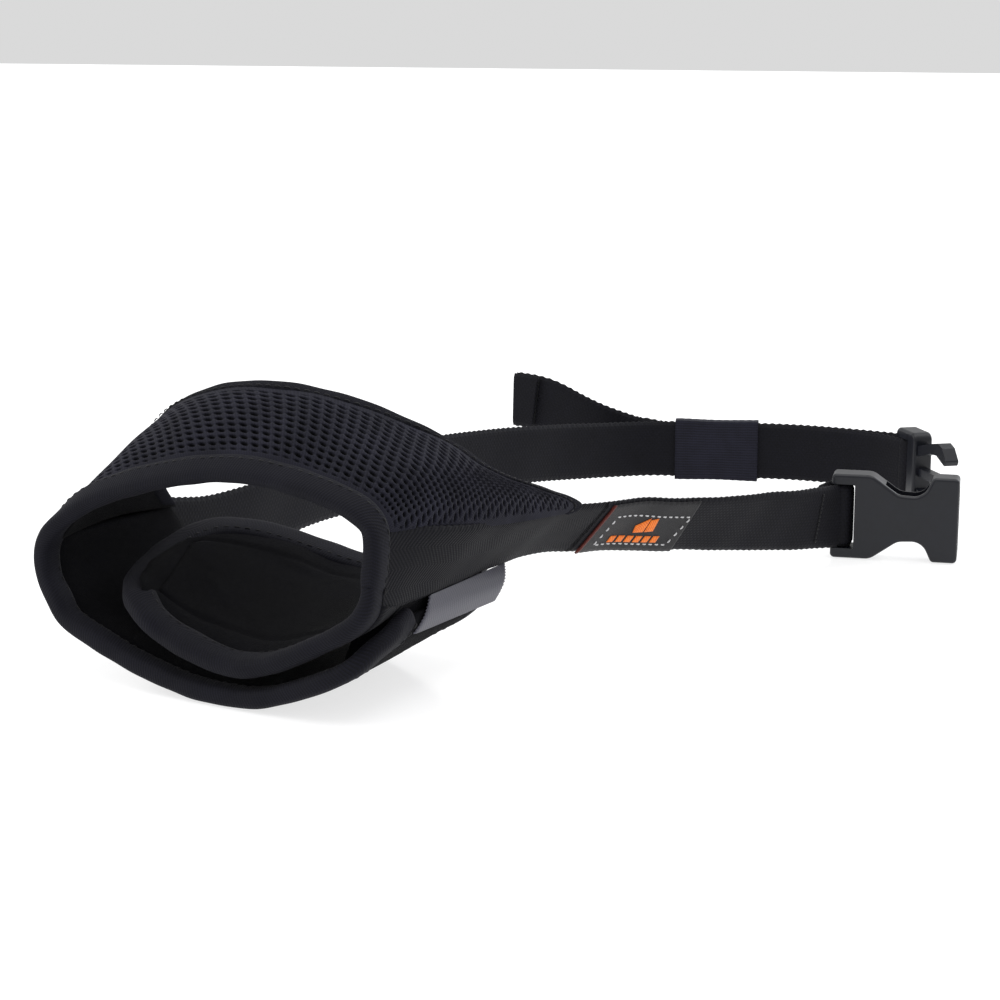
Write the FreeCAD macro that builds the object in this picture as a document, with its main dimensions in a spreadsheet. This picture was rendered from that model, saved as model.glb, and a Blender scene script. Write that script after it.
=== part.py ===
"""Soft loop muzzle for a large dog: mesh nose loop, wrap-around chin flap, neck strap and side-release buckle.

Frame in millimetres: +Z up from the table, +Y towards the dog's neck, +X the dog's left.
The origin is on the table, at the middle of the flat under the chin flap.
"""
import FreeCAD, Part
import math
import os
import Sketcher

Vector = FreeCAD.Vector
os.makedirs("parts", exist_ok=True)
doc = FreeCAD.newDocument("loop_muzzle")

SIZES = (
    ("webbing_width", 20.0), ("webbing_thick", 1.8), ("corner_height", 29.0), ("opening_setback", 22.0),
    ("opening_lean", 5.5), ("mesh_proud", 1.0), ("mesh_thick", 3.0), ("lining_thick", 1.0), ("hem_width", 8.0),
    ("rim_depth", 3.4), ("rim_thick", 2.6), ("inner_flap_thick", 4.0), ("outer_flap_thick", 5.0),
    ("tape_thick", 0.9), ("pile_thick", 0.8), ("buckle_height", 27.0), ("bar_radius", 2.0), ("bar_centre", 2.6),
    ("loop_gap", 0.45), ("bar_window", 7.3), ("window_margin", 3.2),
    ("socket_length", 39.5), ("socket_thick", 9.0), ("socket_shoulder", 12.5), ("waist_depth", 6.4),
    ("mouth_wide", 6.2), ("mouth_high", 21.0), ("mouth_deep", 28.0),
    ("socket_left", 74.3), ("socket_back", 199.8), ("socket_yaw", 16.5),
    ("plug_base", 16.0), ("plug_thick", 7.0), ("plug_bar", 5.0), ("tongue_length", 21.0),
    ("tongue_high", 3.0), ("tongue_thick", 3.2), ("arm_thick", 4.6), ("arm_gap", 0.45),
    ("plug_left", 65.92), ("plug_back", 289.45), ("plug_yaw", -47.0),
    ("keeper_length", 30.0), ("keeper_wall", 0.7), ("keeper_gap", 0.55), ("layer_gap", 0.4),
    ("strap_rest", 3.5), ("label_thick", 0.5), ("thread_proud", 0.25), ("tack_long", 16.5), ("tack_wide", 1.4),
    ("corner_round", 1.4), ("edge_round", 1.0),
)

sheet = doc.addObject("Spreadsheet::Sheet", "Sizes")
for row, (name, value) in enumerate(SIZES, start=1):
    sheet.set(f"A{row}", name)
    sheet.set(f"B{row}", str(value))
    sheet.setAlias(f"B{row}", name)
doc.recompute()


def size(name):
    """A driving dimension, read from the sheet."""
    return float(sheet.get(name))


# ---------------------------------------------------------------- shapes of cloth

# Stations of the top panel, from the left seam over the dog's nose to the right corner: the front edge
# (x, z on the leaning plane of the nose opening), the crown point that bulges the cloth, the rear hem.
TOP_PANEL = (
    ((45.4, 47.6), (55.8, 27.1, 40.6), (53.0, 65.5, 37.4)),
    ((43.6, 50.3), (54.4, -1.5, 54.8), (51.5, 61.0, 42.0)),
    ((39.0, 53.0), (51.8, -1.0, 62.0), (48.5, 36.0, 51.0)),
    ((31.0, 55.4), (43.2, -2.0, 67.2), (44.0, 27.3, 57.4)),
    ((20.0, 57.5), (28.0, -4.0, 71.3), (31.5, 19.0, 66.3)),
    ((7.0, 58.6), (12.0, -7.0, 73.7), (15.5, 13.0, 72.6)),
    ((-7.0, 57.3), (-5.0, -8.0, 74.6), (-5.0, 9.5, 75.0)),
    ((-20.0, 54.4), (-19.0, -8.0, 71.0), (-25.0, 9.5, 71.5)),
    ((-31.0, 51.0), (-30.6, -7.5, 66.8), (-41.4, 13.0, 63.0)),
    ((-42.0, 46.4), (-42.6, -7.0, 58.2), (-49.2, 16.0, 53.0)),
    ((-49.0, 41.5), (-50.9, -5.0, 49.2), (-52.5, 20.0, 43.8)),
    ((-53.9, 36.2), (-55.4, 0.0, 39.0), (-54.0, 28.4, 34.9)),
)

# The right corner wall, from the mesh down to the fold line of the chin flap: front x, z and rear x, y, z.
RIGHT_WALL = (
    ((-54.1, 35.8), (-54.0, 28.6, 34.6)),
    ((-55.7, 31.0), (-54.2, 33.0, 30.0)),
    ((-54.2, 24.0), (-53.2, 34.5, 24.0)),
    ((-51.0, 19.4), (-50.8, 30.0, 19.2)),
)

# The outer chin flap, from the fold line under the chin and up the left side: the front edge (x, z on the
# leaning plane and how far it steps back from it) and the rear edge.
OUTER_FLAP = (
    ((-48.0, 15.4, 0.0), (-48.0, 28.0, 15.4)),
    ((-39.4, 11.4, 0.0), (-39.4, 28.0, 11.4)),
    ((-27.0, 7.1, 0.0), (-27.0, 28.0, 7.1)),
    ((-14.0, 3.9, 0.0), (-14.0, 28.0, 3.9)),
    ((-4.0, 2.4, 0.0), (-4.0, 28.0, 2.4)),
    ((9.0, 2.35, 0.0), (8.5, 28.5, 2.5)),
    ((16.5, 3.6, 0.0), (16.0, 29.5, 4.2)),
    ((25.2, 6.6, 0.0), (24.2, 30.5, 7.8)),
    ((34.0, 10.4, 0.0), (32.0, 32.0, 12.2)),
    ((40.4, 14.2, 1.5), (37.6, 34.0, 15.7)),
    ((43.0, 17.4, 5.0), (40.8, 36.0, 18.4)),
    ((44.2, 19.3, 9.0), (42.0, 38.0, 20.4)),
    ((44.8, 21.0, 12.5), (42.4, 39.5, 21.8)),
)

# The hook tape tab, from the outside of the flap up to the edge of the left webbing: its front and rear ends.
HOOK_TAB = (
    ((45.3, -6.5, 16.2), (43.2, 38.5, 16.9)),
    ((46.3, -3.5, 19.4), (44.0, 41.0, 19.6)),
    ((46.4, -0.5, 22.4), (43.4, 44.0, 21.8)),
    ((45.4, 2.5, 25.2), (41.6, 47.0, 23.4)),
)

# The inner chin flap, from behind the left webbing under the chin to its free tip: front and rear edges.
INNER_FLAP = (
    ((45.3, 34.5), (41.0, 44.0, 34.0)),
    ((44.8, 30.0), (38.5, 44.0, 29.5)),
    ((42.0, 25.6), (36.0, 44.0, 25.2)),
    ((36.0, 21.3), (33.0, 43.0, 22.4)),
    ((28.0, 17.0), (28.5, 42.0, 20.4)),
    ((20.0, 13.2), (20.5, 41.0, 19.7)),
    ((11.0, 10.6), (10.0, 40.0, 20.4)),
    ((2.0, 10.6), (-2.0, 37.8, 22.6)),
    ((-8.0, 13.0), (-14.0, 34.8, 26.0)),
    ((-15.5, 15.6), (-25.0, 30.0, 29.2)),
    ((-20.8, 18.6), (-33.2, 23.4, 30.6)),
    ((-23.6, 20.8), (-37.0, 15.8, 29.6)),
    ((-25.5, 22.8), (-38.4, 9.0, 27.6)),
)
INNER_TIP = ((-30.0, -14.6, 23.6), (-34.6, -7.0, 24.2), (-37.6, 0.8, 25.6))

# Webbing runs: lower edge x, y, z and the lean of the band in degrees, outward where it's negative.
LEFT_BAND = (
    (48.3, -17.5, 27.8, -8.0), (45.9, 0.0, 26.4, -20.5), (43.5, 20.0, 25.4, -31.8),
    (41.9, 40.0, 24.9, -38.9), (41.4, 60.0, 24.0, -42.0), (42.3, 76.0, 22.0, -40.5),
)
LEFT_STRAP = (
    (42.9, 81.2, 21.2, -39.6), (46.1, 100.0, 18.3, -35.5), (51.2, 120.0, 14.6, -33.0), (57.7, 140.0, 11.4, -28.0),
    (64.4, 160.0, 8.3, -19.0), (69.7, 175.0, 6.0, -12.0), (73.6, 186.0, 4.6, -5.0), (76.2, 193.3, 3.7, -0.8),
    (77.5, 196.9, 3.5, 0.0),
)
RIGHT_BAND = (
    (-53.8, -17.5, 20.6, 0.0), (-53.9, 4.0, 19.0, 0.0), (-54.2, 28.0, 16.0, 0.0),
    (-54.4, 42.0, 13.9, 0.0), (-54.4, 60.0, 13.5, 0.0), (-54.2, 75.6, 14.2, 0.0),
)
RIGHT_BAND_BULGE = 4.2
RIGHT_STRAP = (
    (-54.2, 78.0, 14.3, 0.0), (-54.3, 90.0, 15.2, 0.0), (-54.4, 112.0, 15.3, 0.0), (-53.3, 165.0, 12.0, 0.0),
    (-46.5, 212.0, 8.5, 0.0), (-37.5, 246.0, 5.2, 0.0), (-31.0, 261.0, 4.0, 0.0), (-23.0, 270.6, 3.5, 0.0),
)
KEEPER_RUN = ((-23.0, 270.6), (17.0, 286.4))
PLUG_APPROACH = ((30.0, 289.3, 3.5, 0.0), (44.0, 290.2, 3.5, 0.0), (56.0, 288.6, 3.5, 0.0), (66.9, 283.5, 3.5, 0.0))
TAIL = (
    (-28.4, 272.5, 4.2, 0.0), (-32.5, 271.9, 4.5, 1.0), (-39.0, 270.3, 6.1, 2.0), (-48.0, 268.2, 9.3, 4.0),
    (-60.0, 267.0, 14.1, 4.0), (-69.0, 266.5, 17.3, 2.0), (-79.0, 266.0, 18.2, 0.0),
)
PLUG_RETURN = ((69.7, 290.3), (63.5, 292.3), (54.5, 292.7), (44.0, 292.6), (30.2, 291.6))
SOCKET_RETURN = ((73.5, 202.5), (72.7, 198.6), (72.5, 193.0))
TACK_PLACE = 0.905
LABEL_SPAN = (0.02, 0.37)
STITCH_CORNERS = ((0.067, 0.16), (0.080, 0.71), (0.362, 0.69), (0.334, 0.16))
EMBLEM_PLACE = (0.170, 0.250, 0.38, 0.64)
MARK_ROW = (0.114, 0.300, 0.20, 0.30)
MARK_COUNT = 6
FOLD_START = 0.84

# Side outline of the socket's lower half, as sheet expressions for the length and the depth of the waist.
SOCKET_OUTLINE = (
    ("0", "0"), ("socket_shoulder", "0"), ("socket_shoulder + 8.5", "waist_depth - 0.4"),
    ("socket_length - 11", "waist_depth"), ("socket_length - 8", "0"), ("socket_length", "0"),
)
# Side outline of a latch arm, from its root to its hooked tip, measured up from the buckle's lower side.
ARM_OUTLINE = (
    ("plug_base + arm_gap", "4.2"), ("27", "1.5"), ("33", "0.3"), ("36.5", "1.4"), ("40", "5.4"),
    ("39", "7.2"), ("36", "6.2"), ("32", "4.7"), ("27", "5.0"), ("plug_base + arm_gap", "7.8"),
)

# ---------------------------------------------------------------- helpers

def opening_point(x, z):
    """A point of the nose opening, whose plane leans back from the corner height."""
    lean = math.tan(math.radians(size("opening_lean")))
    return Vector(x, -size("opening_setback") + (z - size("corner_height")) * lean, z)


def spline(points):
    """A smooth curve through the points."""
    curve = Part.BSplineCurve()
    curve.interpolate(points)
    return curve


def resampled(points, count):
    """The smooth curve through the points, as evenly spaced points."""
    return spline(points).discretize(Number=count)


def mix(first, second, share):
    """The point that lies a share of the way from first to second."""
    return first + (second - first) * share


def panel_point(station, share):
    """A point of the top panel, on the curve from its front edge over its crown point to its hem."""
    front = opening_point(*station[0])
    crown = Vector(*station[1])
    hem = Vector(*station[2])
    return mix(mix(front, crown, share), mix(crown, hem, share), share)


def panel_length(station, steps=12):
    """The length of one curve of the top panel, from its front edge to its hem."""
    points = [panel_point(station, step / steps) for step in range(steps + 1)]
    return sum(points[i].distanceToPoint(points[i + 1]) for i in range(steps))


def unit(vector):
    """The vector at length one."""
    return vector * (1.0 / vector.Length)


def slope(points, index):
    """The direction of a line of points at one of them."""
    before = points[max(index - 1, 0)]
    after = points[min(index + 1, len(points) - 1)]
    return unit(after - before)


def normals(rows):
    """The unit normal of a grid of points at each of them."""
    columns = list(zip(*rows))
    grid = []
    for i, line in enumerate(rows):
        grid.append([unit(slope(columns[j], i).cross(slope(line, j))) for j in range(len(line))])
    return grid


def skin_solid(rows, low, high):
    """A closed cloth solid, from low to high along the normals of a grid of points."""
    grid = normals(rows)
    surfaces = []
    for offset in (low, high):
        moved = [[p + n * offset for p, n in zip(line, line_normals)] for line, line_normals in zip(rows, grid)]
        surface = Part.BSplineSurface()
        surface.interpolate(moved)
        surfaces.append(surface)
    faces = [surface.toShape() for surface in surfaces]
    u_low, u_high, v_low, v_high = surfaces[0].bounds()
    u_low2, u_high2, v_low2, v_high2 = surfaces[1].bounds()
    pairs = (
        (surfaces[0].uIso(u_low), surfaces[1].uIso(u_low2)), (surfaces[0].uIso(u_high), surfaces[1].uIso(u_high2)),
        (surfaces[0].vIso(v_low), surfaces[1].vIso(v_low2)), (surfaces[0].vIso(v_high), surfaces[1].vIso(v_high2)),
    )
    for first, second in pairs:
        side = Part.BSplineSurface()
        side.buildFromNSections([first, second])
        faces.append(side.toShape())
    shell = Part.makeShell(faces)
    shell.sewShape()
    solid = Part.makeSolid(shell)
    if solid.Volume < 0:
        solid.reverse()
    return solid


def rim_solid(stations, half_depth, half_thick):
    """A rounded binding along stations of (centre, direction into the cloth)."""
    centres = [station[0] for station in stations]
    sections = []
    for index, (centre, inward) in enumerate(stations):
        along = slope(centres, index)
        thick = unit(along.cross(inward))
        deep = unit(thick.cross(along))
        loop = []
        for step in range(12):
            angle = math.radians(30.0 * step)
            squarer = 1.0 + 0.12 * math.sin(2.0 * angle) ** 2
            loop.append(centre + deep * (half_depth * squarer * math.cos(angle))
                        + thick * (half_thick * squarer * math.sin(angle)))
        curve = Part.BSplineCurve()
        curve.interpolate(loop, PeriodicFlag=True)
        sections.append(Part.Wire(curve.toShape()))
    return Part.makeLoft(sections, True, False)


def band_edges(path, width, count):
    """The lower and upper edge of a leaning band of webbing, evenly resampled."""
    lower = [Vector(*station[:3]) for station in path]
    upper = []
    for index, station in enumerate(path):
        along = slope(lower, index)
        side = unit(along.cross(Vector(0, 0, 1)))
        rise = side.cross(along)
        lean = math.radians(station[3])
        upper.append(lower[index] + (rise * math.cos(lean) - side * math.sin(lean)) * width)
    return resampled(lower, count), resampled(upper, count)


def band_rows(path, width, count):
    """A grid of points on a band of webbing, four across its width."""
    lower, upper = band_edges(path, width, count)
    return [[mix(low, high, share / 3.0) for share in range(4)] for low, high in zip(lower, upper)]


def shape_node(label, shape):
    """A sub-part whose shape is made in code."""
    node = doc.addObject("Part::Feature", label)
    node.Label = label
    node.Shape = shape
    node.Placement = FreeCAD.Placement()
    return node


def above_table(shape):
    """The part of a shape that is above the table."""
    table = Part.makeBox(400, 400, 50, Vector(-200, -200, -50))
    return shape.cut(table).Solids[0]


# ---------------------------------------------------------------- nose loop

def top_panel_rows(low_share, high_share, count=6):
    """Grid rows of the top panel between two shares of each station's curve."""
    rows = []
    for station in TOP_PANEL:
        low, high = low_share(station), high_share(station)
        rows.append([panel_point(station, low + (high - low) * step / (count - 1)) for step in range(count)])
    return rows


def make_top_panel():
    """Mesh outside, lining inside and a smooth hem along the rear."""
    def rim_share(station):
        return size("rim_depth") / panel_length(station)

    def hem_share(station):
        return 1.0 - size("hem_width") / panel_length(station)

    def end_share(station):
        return 1.0

    cloth = top_panel_rows(rim_share, hem_share)
    hem = top_panel_rows(hem_share, end_share, 4)
    outside = -size("mesh_proud")
    between = outside + size("mesh_thick")
    inside = between + size("lining_thick")
    shape_node("top_mesh_panel", skin_solid(cloth, outside, between))
    shape_node("top_panel_lining", skin_solid(cloth, between, inside))
    shape_node("rear_hem", skin_solid(hem, outside, inside))


def make_front_binding():
    """One binding from the fold line, round the right corner and over the nose to the left side."""
    stations = []
    for front, rear in reversed(RIGHT_WALL):
        stations.append((opening_point(*front), Vector(*rear) - opening_point(*front)))
    for station in reversed(TOP_PANEL[:-1]):
        stations.append((opening_point(*station[0]), Vector(*station[1]) - opening_point(*station[0])))
    first = INNER_FLAP[0][0]
    stations.append((opening_point(45.8, 41.5), Vector(0, 1, 0)))
    stations.append((opening_point(first[0], first[1] + 0.8), Vector(0, 1, 0)))
    shape_node("front_binding", rim_solid(stations, size("rim_depth"), size("rim_thick")))


def make_right_wall():
    """The lined wall at the right corner, between the mesh and the fold line."""
    rows = []
    for front, rear in RIGHT_WALL:
        start, end = opening_point(*front), Vector(*rear)
        share = size("rim_depth") / start.distanceToPoint(end)
        rows.append([mix(start, end, share + (1.0 - share) * step / 3.0) for step in range(4)])
    shape_node("right_side_panel", skin_solid(rows, -1.6, 1.4))


def make_inner_flap():
    """The padded inner chin flap, its binding all round and the loop tape on its outside."""
    half = size("inner_flap_thick") / 2.0
    rim = size("rim_depth")
    rows = lofted_rows([(opening_point(*front), Vector(*rear)) for front, rear in INNER_FLAP], rim)
    shape_node("inner_chin_flap", skin_solid(rows, -half, half))

    heart = rows[-3][1]
    edge = [(opening_point(*front), Vector(*rear) - opening_point(*front)) for front, rear in INNER_FLAP]
    tip = [(Vector(*point), heart - Vector(*point)) for point in INNER_TIP]
    back = [(Vector(*rear), opening_point(*front) - Vector(*rear)) for front, rear in reversed(INNER_FLAP)]
    shape_node("inner_flap_binding", rim_solid(edge + tip + back, rim, size("rim_thick")))

    tape = []
    for line in rows[:3]:
        tape.append([mix(line[0], line[3], 0.12 + 0.56 * step / 3.0) for step in range(4)])
    shape_node("loop_tape", skin_solid(tape, half, half + size("pile_thick")))


def make_side_webbing():
    """The webbing bands that are sewn along both sides of the nose loop."""
    thick = size("webbing_thick")
    width = size("webbing_width")
    shape_node("left_side_webbing", skin_solid(band_rows(LEFT_BAND, width, 9), -thick, 0.0))
    right = band_rows(RIGHT_BAND, width, 9)
    for index, line in enumerate(right):
        bulge = RIGHT_BAND_BULGE * max(0.0, 1.0 - index / 6.0)
        right[index] = [point + Vector(-bulge * share, 0, 0) for point, share in zip(line, (0.0, 1.0, 1.0, 0.3))]
    shape_node("right_side_webbing", skin_solid(right, -thick, 0.0))


# ---------------------------------------------------------------- chin flap

def flap_front(station):
    """The front edge point of a station of the outer chin flap."""
    x, z, back = station[0]
    return opening_point(x, z) + Vector(0, back, 0)


def lofted_rows(edges, margin, count=4):
    """Grid rows between pairs of edge points, starting and ending a margin inside them."""
    rows = []
    for start, end in edges:
        share = margin / start.distanceToPoint(end)
        rows.append([mix(start, end, share + (1.0 - 2.0 * share) * step / (count - 1)) for step in range(count)])
    return rows


def make_chin_flap():
    """The outer chin flap, its two bindings, the hook tape tab and its pile."""
    half = size("outer_flap_thick") / 2.0
    rim = size("rim_depth")
    edges = [(flap_front(station), Vector(*station[1])) for station in OUTER_FLAP]
    shape_node("outer_chin_flap", above_table(skin_solid(lofted_rows(edges, rim), -half, half)))
    front = [(start, end - start) for start, end in edges]
    rear = [(end, start - end) for start, end in edges]
    for label, stations in (("outer_flap_front_binding", front), ("outer_flap_rear_binding", rear)):
        shape_node(label, above_table(rim_solid(stations, rim, size("rim_thick"))))
    tab = lofted_rows([(Vector(*start), Vector(*end)) for start, end in HOOK_TAB], 0.0)
    shape_node("hook_tape_tab", skin_solid(tab, -size("tape_thick"), 0.0))
    between = [mix(low, high, 0.5) for low, high in zip(tab[2], tab[3])]
    shape_node("hook_pile", skin_solid([tab[2], between, tab[3]], 0.0, size("pile_thick")))


# ---------------------------------------------------------------- straps

def turn_about(centre, radius, heading, steps, height):
    """Points of webbing round a bar: half a turn from the near side to the far side of it."""
    points = []
    for step in range(steps + 1):
        angle = math.radians(heading - 90.0 + 180.0 * step / steps)
        points.append(Vector(centre.x + radius * math.cos(angle), centre.y + radius * math.sin(angle), height))
    return points


def flat_rows(points, width):
    """Grid rows of an upright band of webbing whose lower edge has these points."""
    return [[p + Vector(0, 0, width * step / 3.0) for step in range(4)] for p in points]


def bar_place(buckle, along):
    """The place of a buckle's webbing bar."""
    angle = math.radians(size(buckle + "_yaw"))
    return Vector(size(buckle + "_left") + along * math.cos(angle), size(buckle + "_back") + along * math.sin(angle), 0)


def turned_webbing(buckle, along, route, count):
    """Webbing turned round a buckle's bar, running back along a route."""
    radius = size("bar_radius") + size("loop_gap") + size("webbing_thick") / 2.0
    rest = size("strap_rest")
    turn = turn_about(bar_place(buckle, along), radius, size(buckle + "_yaw"), 8, rest)
    points = resampled(turn + [Vector(x, y, rest) for x, y in route], count)
    half = size("webbing_thick") / 2.0
    return skin_solid(flat_rows(points, size("webbing_width")), -half, half)


def band_place(rows, along, up):
    """A point on a band of webbing, at shares of its length and its width."""
    spot = along * (len(rows) - 1)
    index = min(int(spot), len(rows) - 2)
    low = mix(rows[index][0], rows[index + 1][0], spot - index)
    high = mix(rows[index][-1], rows[index + 1][-1], spot - index)
    return mix(low, high, up)


def band_patch(rows, corners, low, high, steps=6):
    """A thin solid on a band, between four corners given as shares of its length and width."""
    (a_along, a_up), (b_along, b_up), (c_along, c_up), (d_along, d_up) = corners
    grid = []
    for i in range(steps + 1):
        share = i / steps
        lower = (a_along + (d_along - a_along) * share, a_up + (d_up - a_up) * share)
        upper = (b_along + (c_along - b_along) * share, b_up + (c_up - b_up) * share)
        line = []
        for j in range(4):
            up = j / 3.0
            line.append(band_place(rows, lower[0] + (upper[0] - lower[0]) * up, lower[1] + (upper[1] - lower[1]) * up))
        grid.append(line)
    return skin_solid(grid, low, high)


def upright_patch(rows, start, end, low_up, high_up, low, high):
    """A thin solid on a band, between two places along it and two heights."""
    corners = ((start, low_up), (start, high_up), (end, high_up), (end, low_up))
    return band_patch(rows, corners, low, high)


def make_left_strap():
    """The left strap with its sewn loop, bar tack and woven label."""
    width = size("webbing_width")
    half = size("webbing_thick") / 2.0
    proud = size("thread_proud")
    rows = band_rows(LEFT_STRAP, width, 16)
    shape_node("left_strap_webbing", skin_solid(rows, -half, half))
    shape_node("left_strap_loop", turned_webbing("socket", size("bar_centre"), SOCKET_RETURN, 16))
    margin = (1.0 - size("tack_long") / width) / 2.0
    tack = size("tack_wide") / 240.0
    shape_node("strap_bar_tack", upright_patch(rows, TACK_PLACE - tack, TACK_PLACE + tack, margin, 1.0 - margin,
                                               half, half + proud))
    label_top = half + size("label_thick")
    shape_node("woven_label", upright_patch(rows, LABEL_SPAN[0], LABEL_SPAN[1], 0.03, 0.97, half, label_top))
    make_label_marks(rows, label_top, label_top + proud)


def make_label_marks(rows, low, high):
    """The label's stitched border and its plain woven mark: a patch over a row of short bars."""
    lines = []
    wide = 0.02
    for index, corner in enumerate(STITCH_CORNERS):
        after = STITCH_CORNERS[(index + 1) % len(STITCH_CORNERS)]
        level = abs(after[1] - corner[1]) < abs(after[0] - corner[0])
        side = (0.0, wide) if level else (wide / 4.0, 0.0)
        ends = (corner, (corner[0] + side[0], corner[1] + side[1]), (after[0] + side[0], after[1] + side[1]), after)
        lines.append(band_patch(rows, ends, low, high))
    shape_node("label_stitching", Part.makeCompound(lines))
    start, end, bottom, top = EMBLEM_PLACE
    marks = [upright_patch(rows, start, end, bottom, top, low, high)]
    first, last, bottom, top = MARK_ROW
    pitch = (last - first) / MARK_COUNT
    for index in range(MARK_COUNT):
        left = first + index * pitch
        marks.append(upright_patch(rows, left, left + 0.6 * pitch, bottom, top, low, high))
    shape_node("label_emblem", Part.makeCompound(marks))


def run_normal():
    """The direction across the straight run of the right strap, away from the dog's neck."""
    (x_start, y_start), (x_end, y_end) = KEEPER_RUN
    along = unit(Vector(x_end - x_start, y_end - y_start, 0))
    return Vector(-along.y, along.x, 0)


def run_points(offset, start=0.0):
    """Points along the straight run of the right strap, moved across it by an offset."""
    rest = size("strap_rest")
    (x_start, y_start), (x_end, y_end) = KEEPER_RUN
    across = run_normal() * offset
    shares = [start + (1.0 - start) * step / 6.0 for step in range(7)]
    ends = Vector(x_start, y_start, rest), Vector(x_end, y_end, rest)
    return [mix(ends[0], ends[1], share) + across for share in shares]


def make_right_strap():
    """The right strap, its second layer back from the plug, and the free tail beyond the keeper."""
    width = size("webbing_width")
    half = size("webbing_thick") / 2.0
    run = [(point.x, point.y, point.z, 0.0) for point in run_points(0.0)]
    path = RIGHT_STRAP[:-1] + tuple(run) + PLUG_APPROACH
    shape_node("right_strap_webbing", skin_solid(band_rows(path, width, 34), -half, half))
    layer = size("webbing_thick") + size("layer_gap")
    back = [(point.x, point.y) for point in reversed(run_points(layer, 0.02))]
    shape_node("right_strap_return", turned_webbing("plug", size("plug_bar"), PLUG_RETURN + tuple(back), 34))
    tail = band_rows(TAIL, width, 12)
    shape_node("strap_tail_webbing", skin_solid(tail, -half, half))
    fold = upright_patch(tail, FOLD_START, 1.0, 0.0, 1.0, -half - size("webbing_thick"), -half)
    shape_node("tail_end_fold", fold)
    stitch = size("tack_wide") / 200.0
    shape_node("tail_end_stitch", upright_patch(tail, FOLD_START + stitch, FOLD_START + 3.0 * stitch, 0.06, 0.94,
                                                half, half + size("thread_proud")))


def make_keeper():
    """The elastic keeper, a flat sleeve round both layers of the right strap."""
    gap = "Sizes.keeper_gap"
    wall = "Sizes.keeper_wall"
    layers = "(2 * Sizes.webbing_thick + Sizes.layer_gap"
    outer = doc.addObject("Part::Box", "keeper_outside")
    inner = doc.addObject("Part::Box", "keeper_inside")
    (x_start, y_start), (x_end, y_end) = KEEPER_RUN
    along = unit(Vector(x_end - x_start, y_end - y_start, 0))
    middle = Vector(x_start, y_start, 0) + along * 22.6
    turn = FreeCAD.Rotation(Vector(0, 0, 1), math.degrees(math.atan2(along.y, along.x)))
    for box, grow, overrun in ((outer, f" + 2 * {wall})", 0.0), (inner, ")", 2.0)):
        extra = size("keeper_wall") if box is outer else 0.0
        side = size("webbing_thick") / 2.0 + size("keeper_gap") + extra
        box.setExpression("Length", f"Sizes.keeper_length + {overrun}")
        box.setExpression("Width", f"{layers} + 2 * {gap}{grow}")
        box.setExpression("Height", f"(Sizes.webbing_width + 2 * {gap}{grow}")
        corner = Vector(-(size("keeper_length") + overrun) / 2.0, -side,
                        size("strap_rest") - size("keeper_gap") - extra)
        box.Placement = FreeCAD.Placement(middle, turn).multiply(FreeCAD.Placement(corner, FreeCAD.Rotation()))
    keeper = doc.addObject("Part::Cut", "elastic_keeper")
    keeper.Label = "elastic_keeper"
    keeper.Base = outer
    keeper.Tool = inner


# ---------------------------------------------------------------- buckle

def origin_plane(body, role):
    """One of a body's own origin planes."""
    return next(feature for feature in body.Origin.OriginFeatures if feature.Role == role)


def new_sketch(body, name, role):
    """An empty sketch on one of the body's own origin planes."""
    sketch = body.newObject("Sketcher::SketchObject", name)
    sketch.AttachmentSupport = [(origin_plane(body, role), "")]
    sketch.MapMode = "FlatFace"
    return sketch


def bind(sketch, kind, geometry, expression):
    """Bind one coordinate of a line's start point to a sheet expression."""
    value = float(sketch.evalExpression(expression))
    axis = -2 if kind == "DistanceX" else -1
    if abs(value) < 1e-9:
        sketch.addConstraint(Sketcher.Constraint("PointOnObject", geometry, 1, axis))
        return
    ends = (-1, 1, geometry, 1) if value > 0 else (geometry, 1, -1, 1)
    index = sketch.addConstraint(Sketcher.Constraint(kind, *ends, abs(value)))
    sketch.setExpression(f"Constraints[{index}]", expression if value > 0 else f"-({expression})")


def polygon_sketch(body, name, role, corners):
    """A closed outline whose corners are pairs of sheet expressions."""
    sketch = new_sketch(body, name, role)
    expressions = [tuple(sheet_names(part) for part in corner) for corner in corners]
    places = [Vector(*[float(sketch.evalExpression(part)) for part in corner], 0) for corner in expressions]
    count = len(places)
    for index in range(count):
        sketch.addGeometry(Part.LineSegment(places[index], places[(index + 1) % count]))
    for index in range(count):
        sketch.addConstraint(Sketcher.Constraint("Coincident", index, 2, (index + 1) % count, 1))
    for index, (across, up) in enumerate(expressions):
        bind(sketch, "DistanceX", index, across)
        bind(sketch, "DistanceY", index, up)
    return sketch


def sheet_names(expression):
    """The expression with every size written as a cell of the sheet."""
    words = expression.replace("(", "( ").replace(")", " )").split()
    return " ".join("Sizes." + word if word[0].isalpha() else word for word in words)


def rectangle(low_across, high_across, low_up, high_up):
    """The corners of an upright rectangle, as sheet expressions."""
    return ((low_across, low_up), (high_across, low_up), (high_across, high_up), (low_across, high_up))


def pad(body, sketch, name, length):
    """A pad to both sides of the sketch plane."""
    feature = body.newObject("PartDesign::Pad", name)
    feature.Profile = sketch
    feature.SideType = "Symmetric"
    feature.setExpression("Length", f"Sizes.{length}")
    doc.recompute()
    return feature


def pocket(body, sketch, name, length, both_sides):
    """A pocket, checked to remove material."""
    before = body.Shape.Volume
    feature = body.newObject("PartDesign::Pocket", name)
    feature.Profile = sketch
    feature.SideType = "Symmetric" if both_sides else "One side"
    feature.setExpression("Length", length)
    doc.recompute()
    if body.Shape.Volume > before - 1.0:
        raise RuntimeError(f"{name} removes nothing")
    return feature


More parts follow.
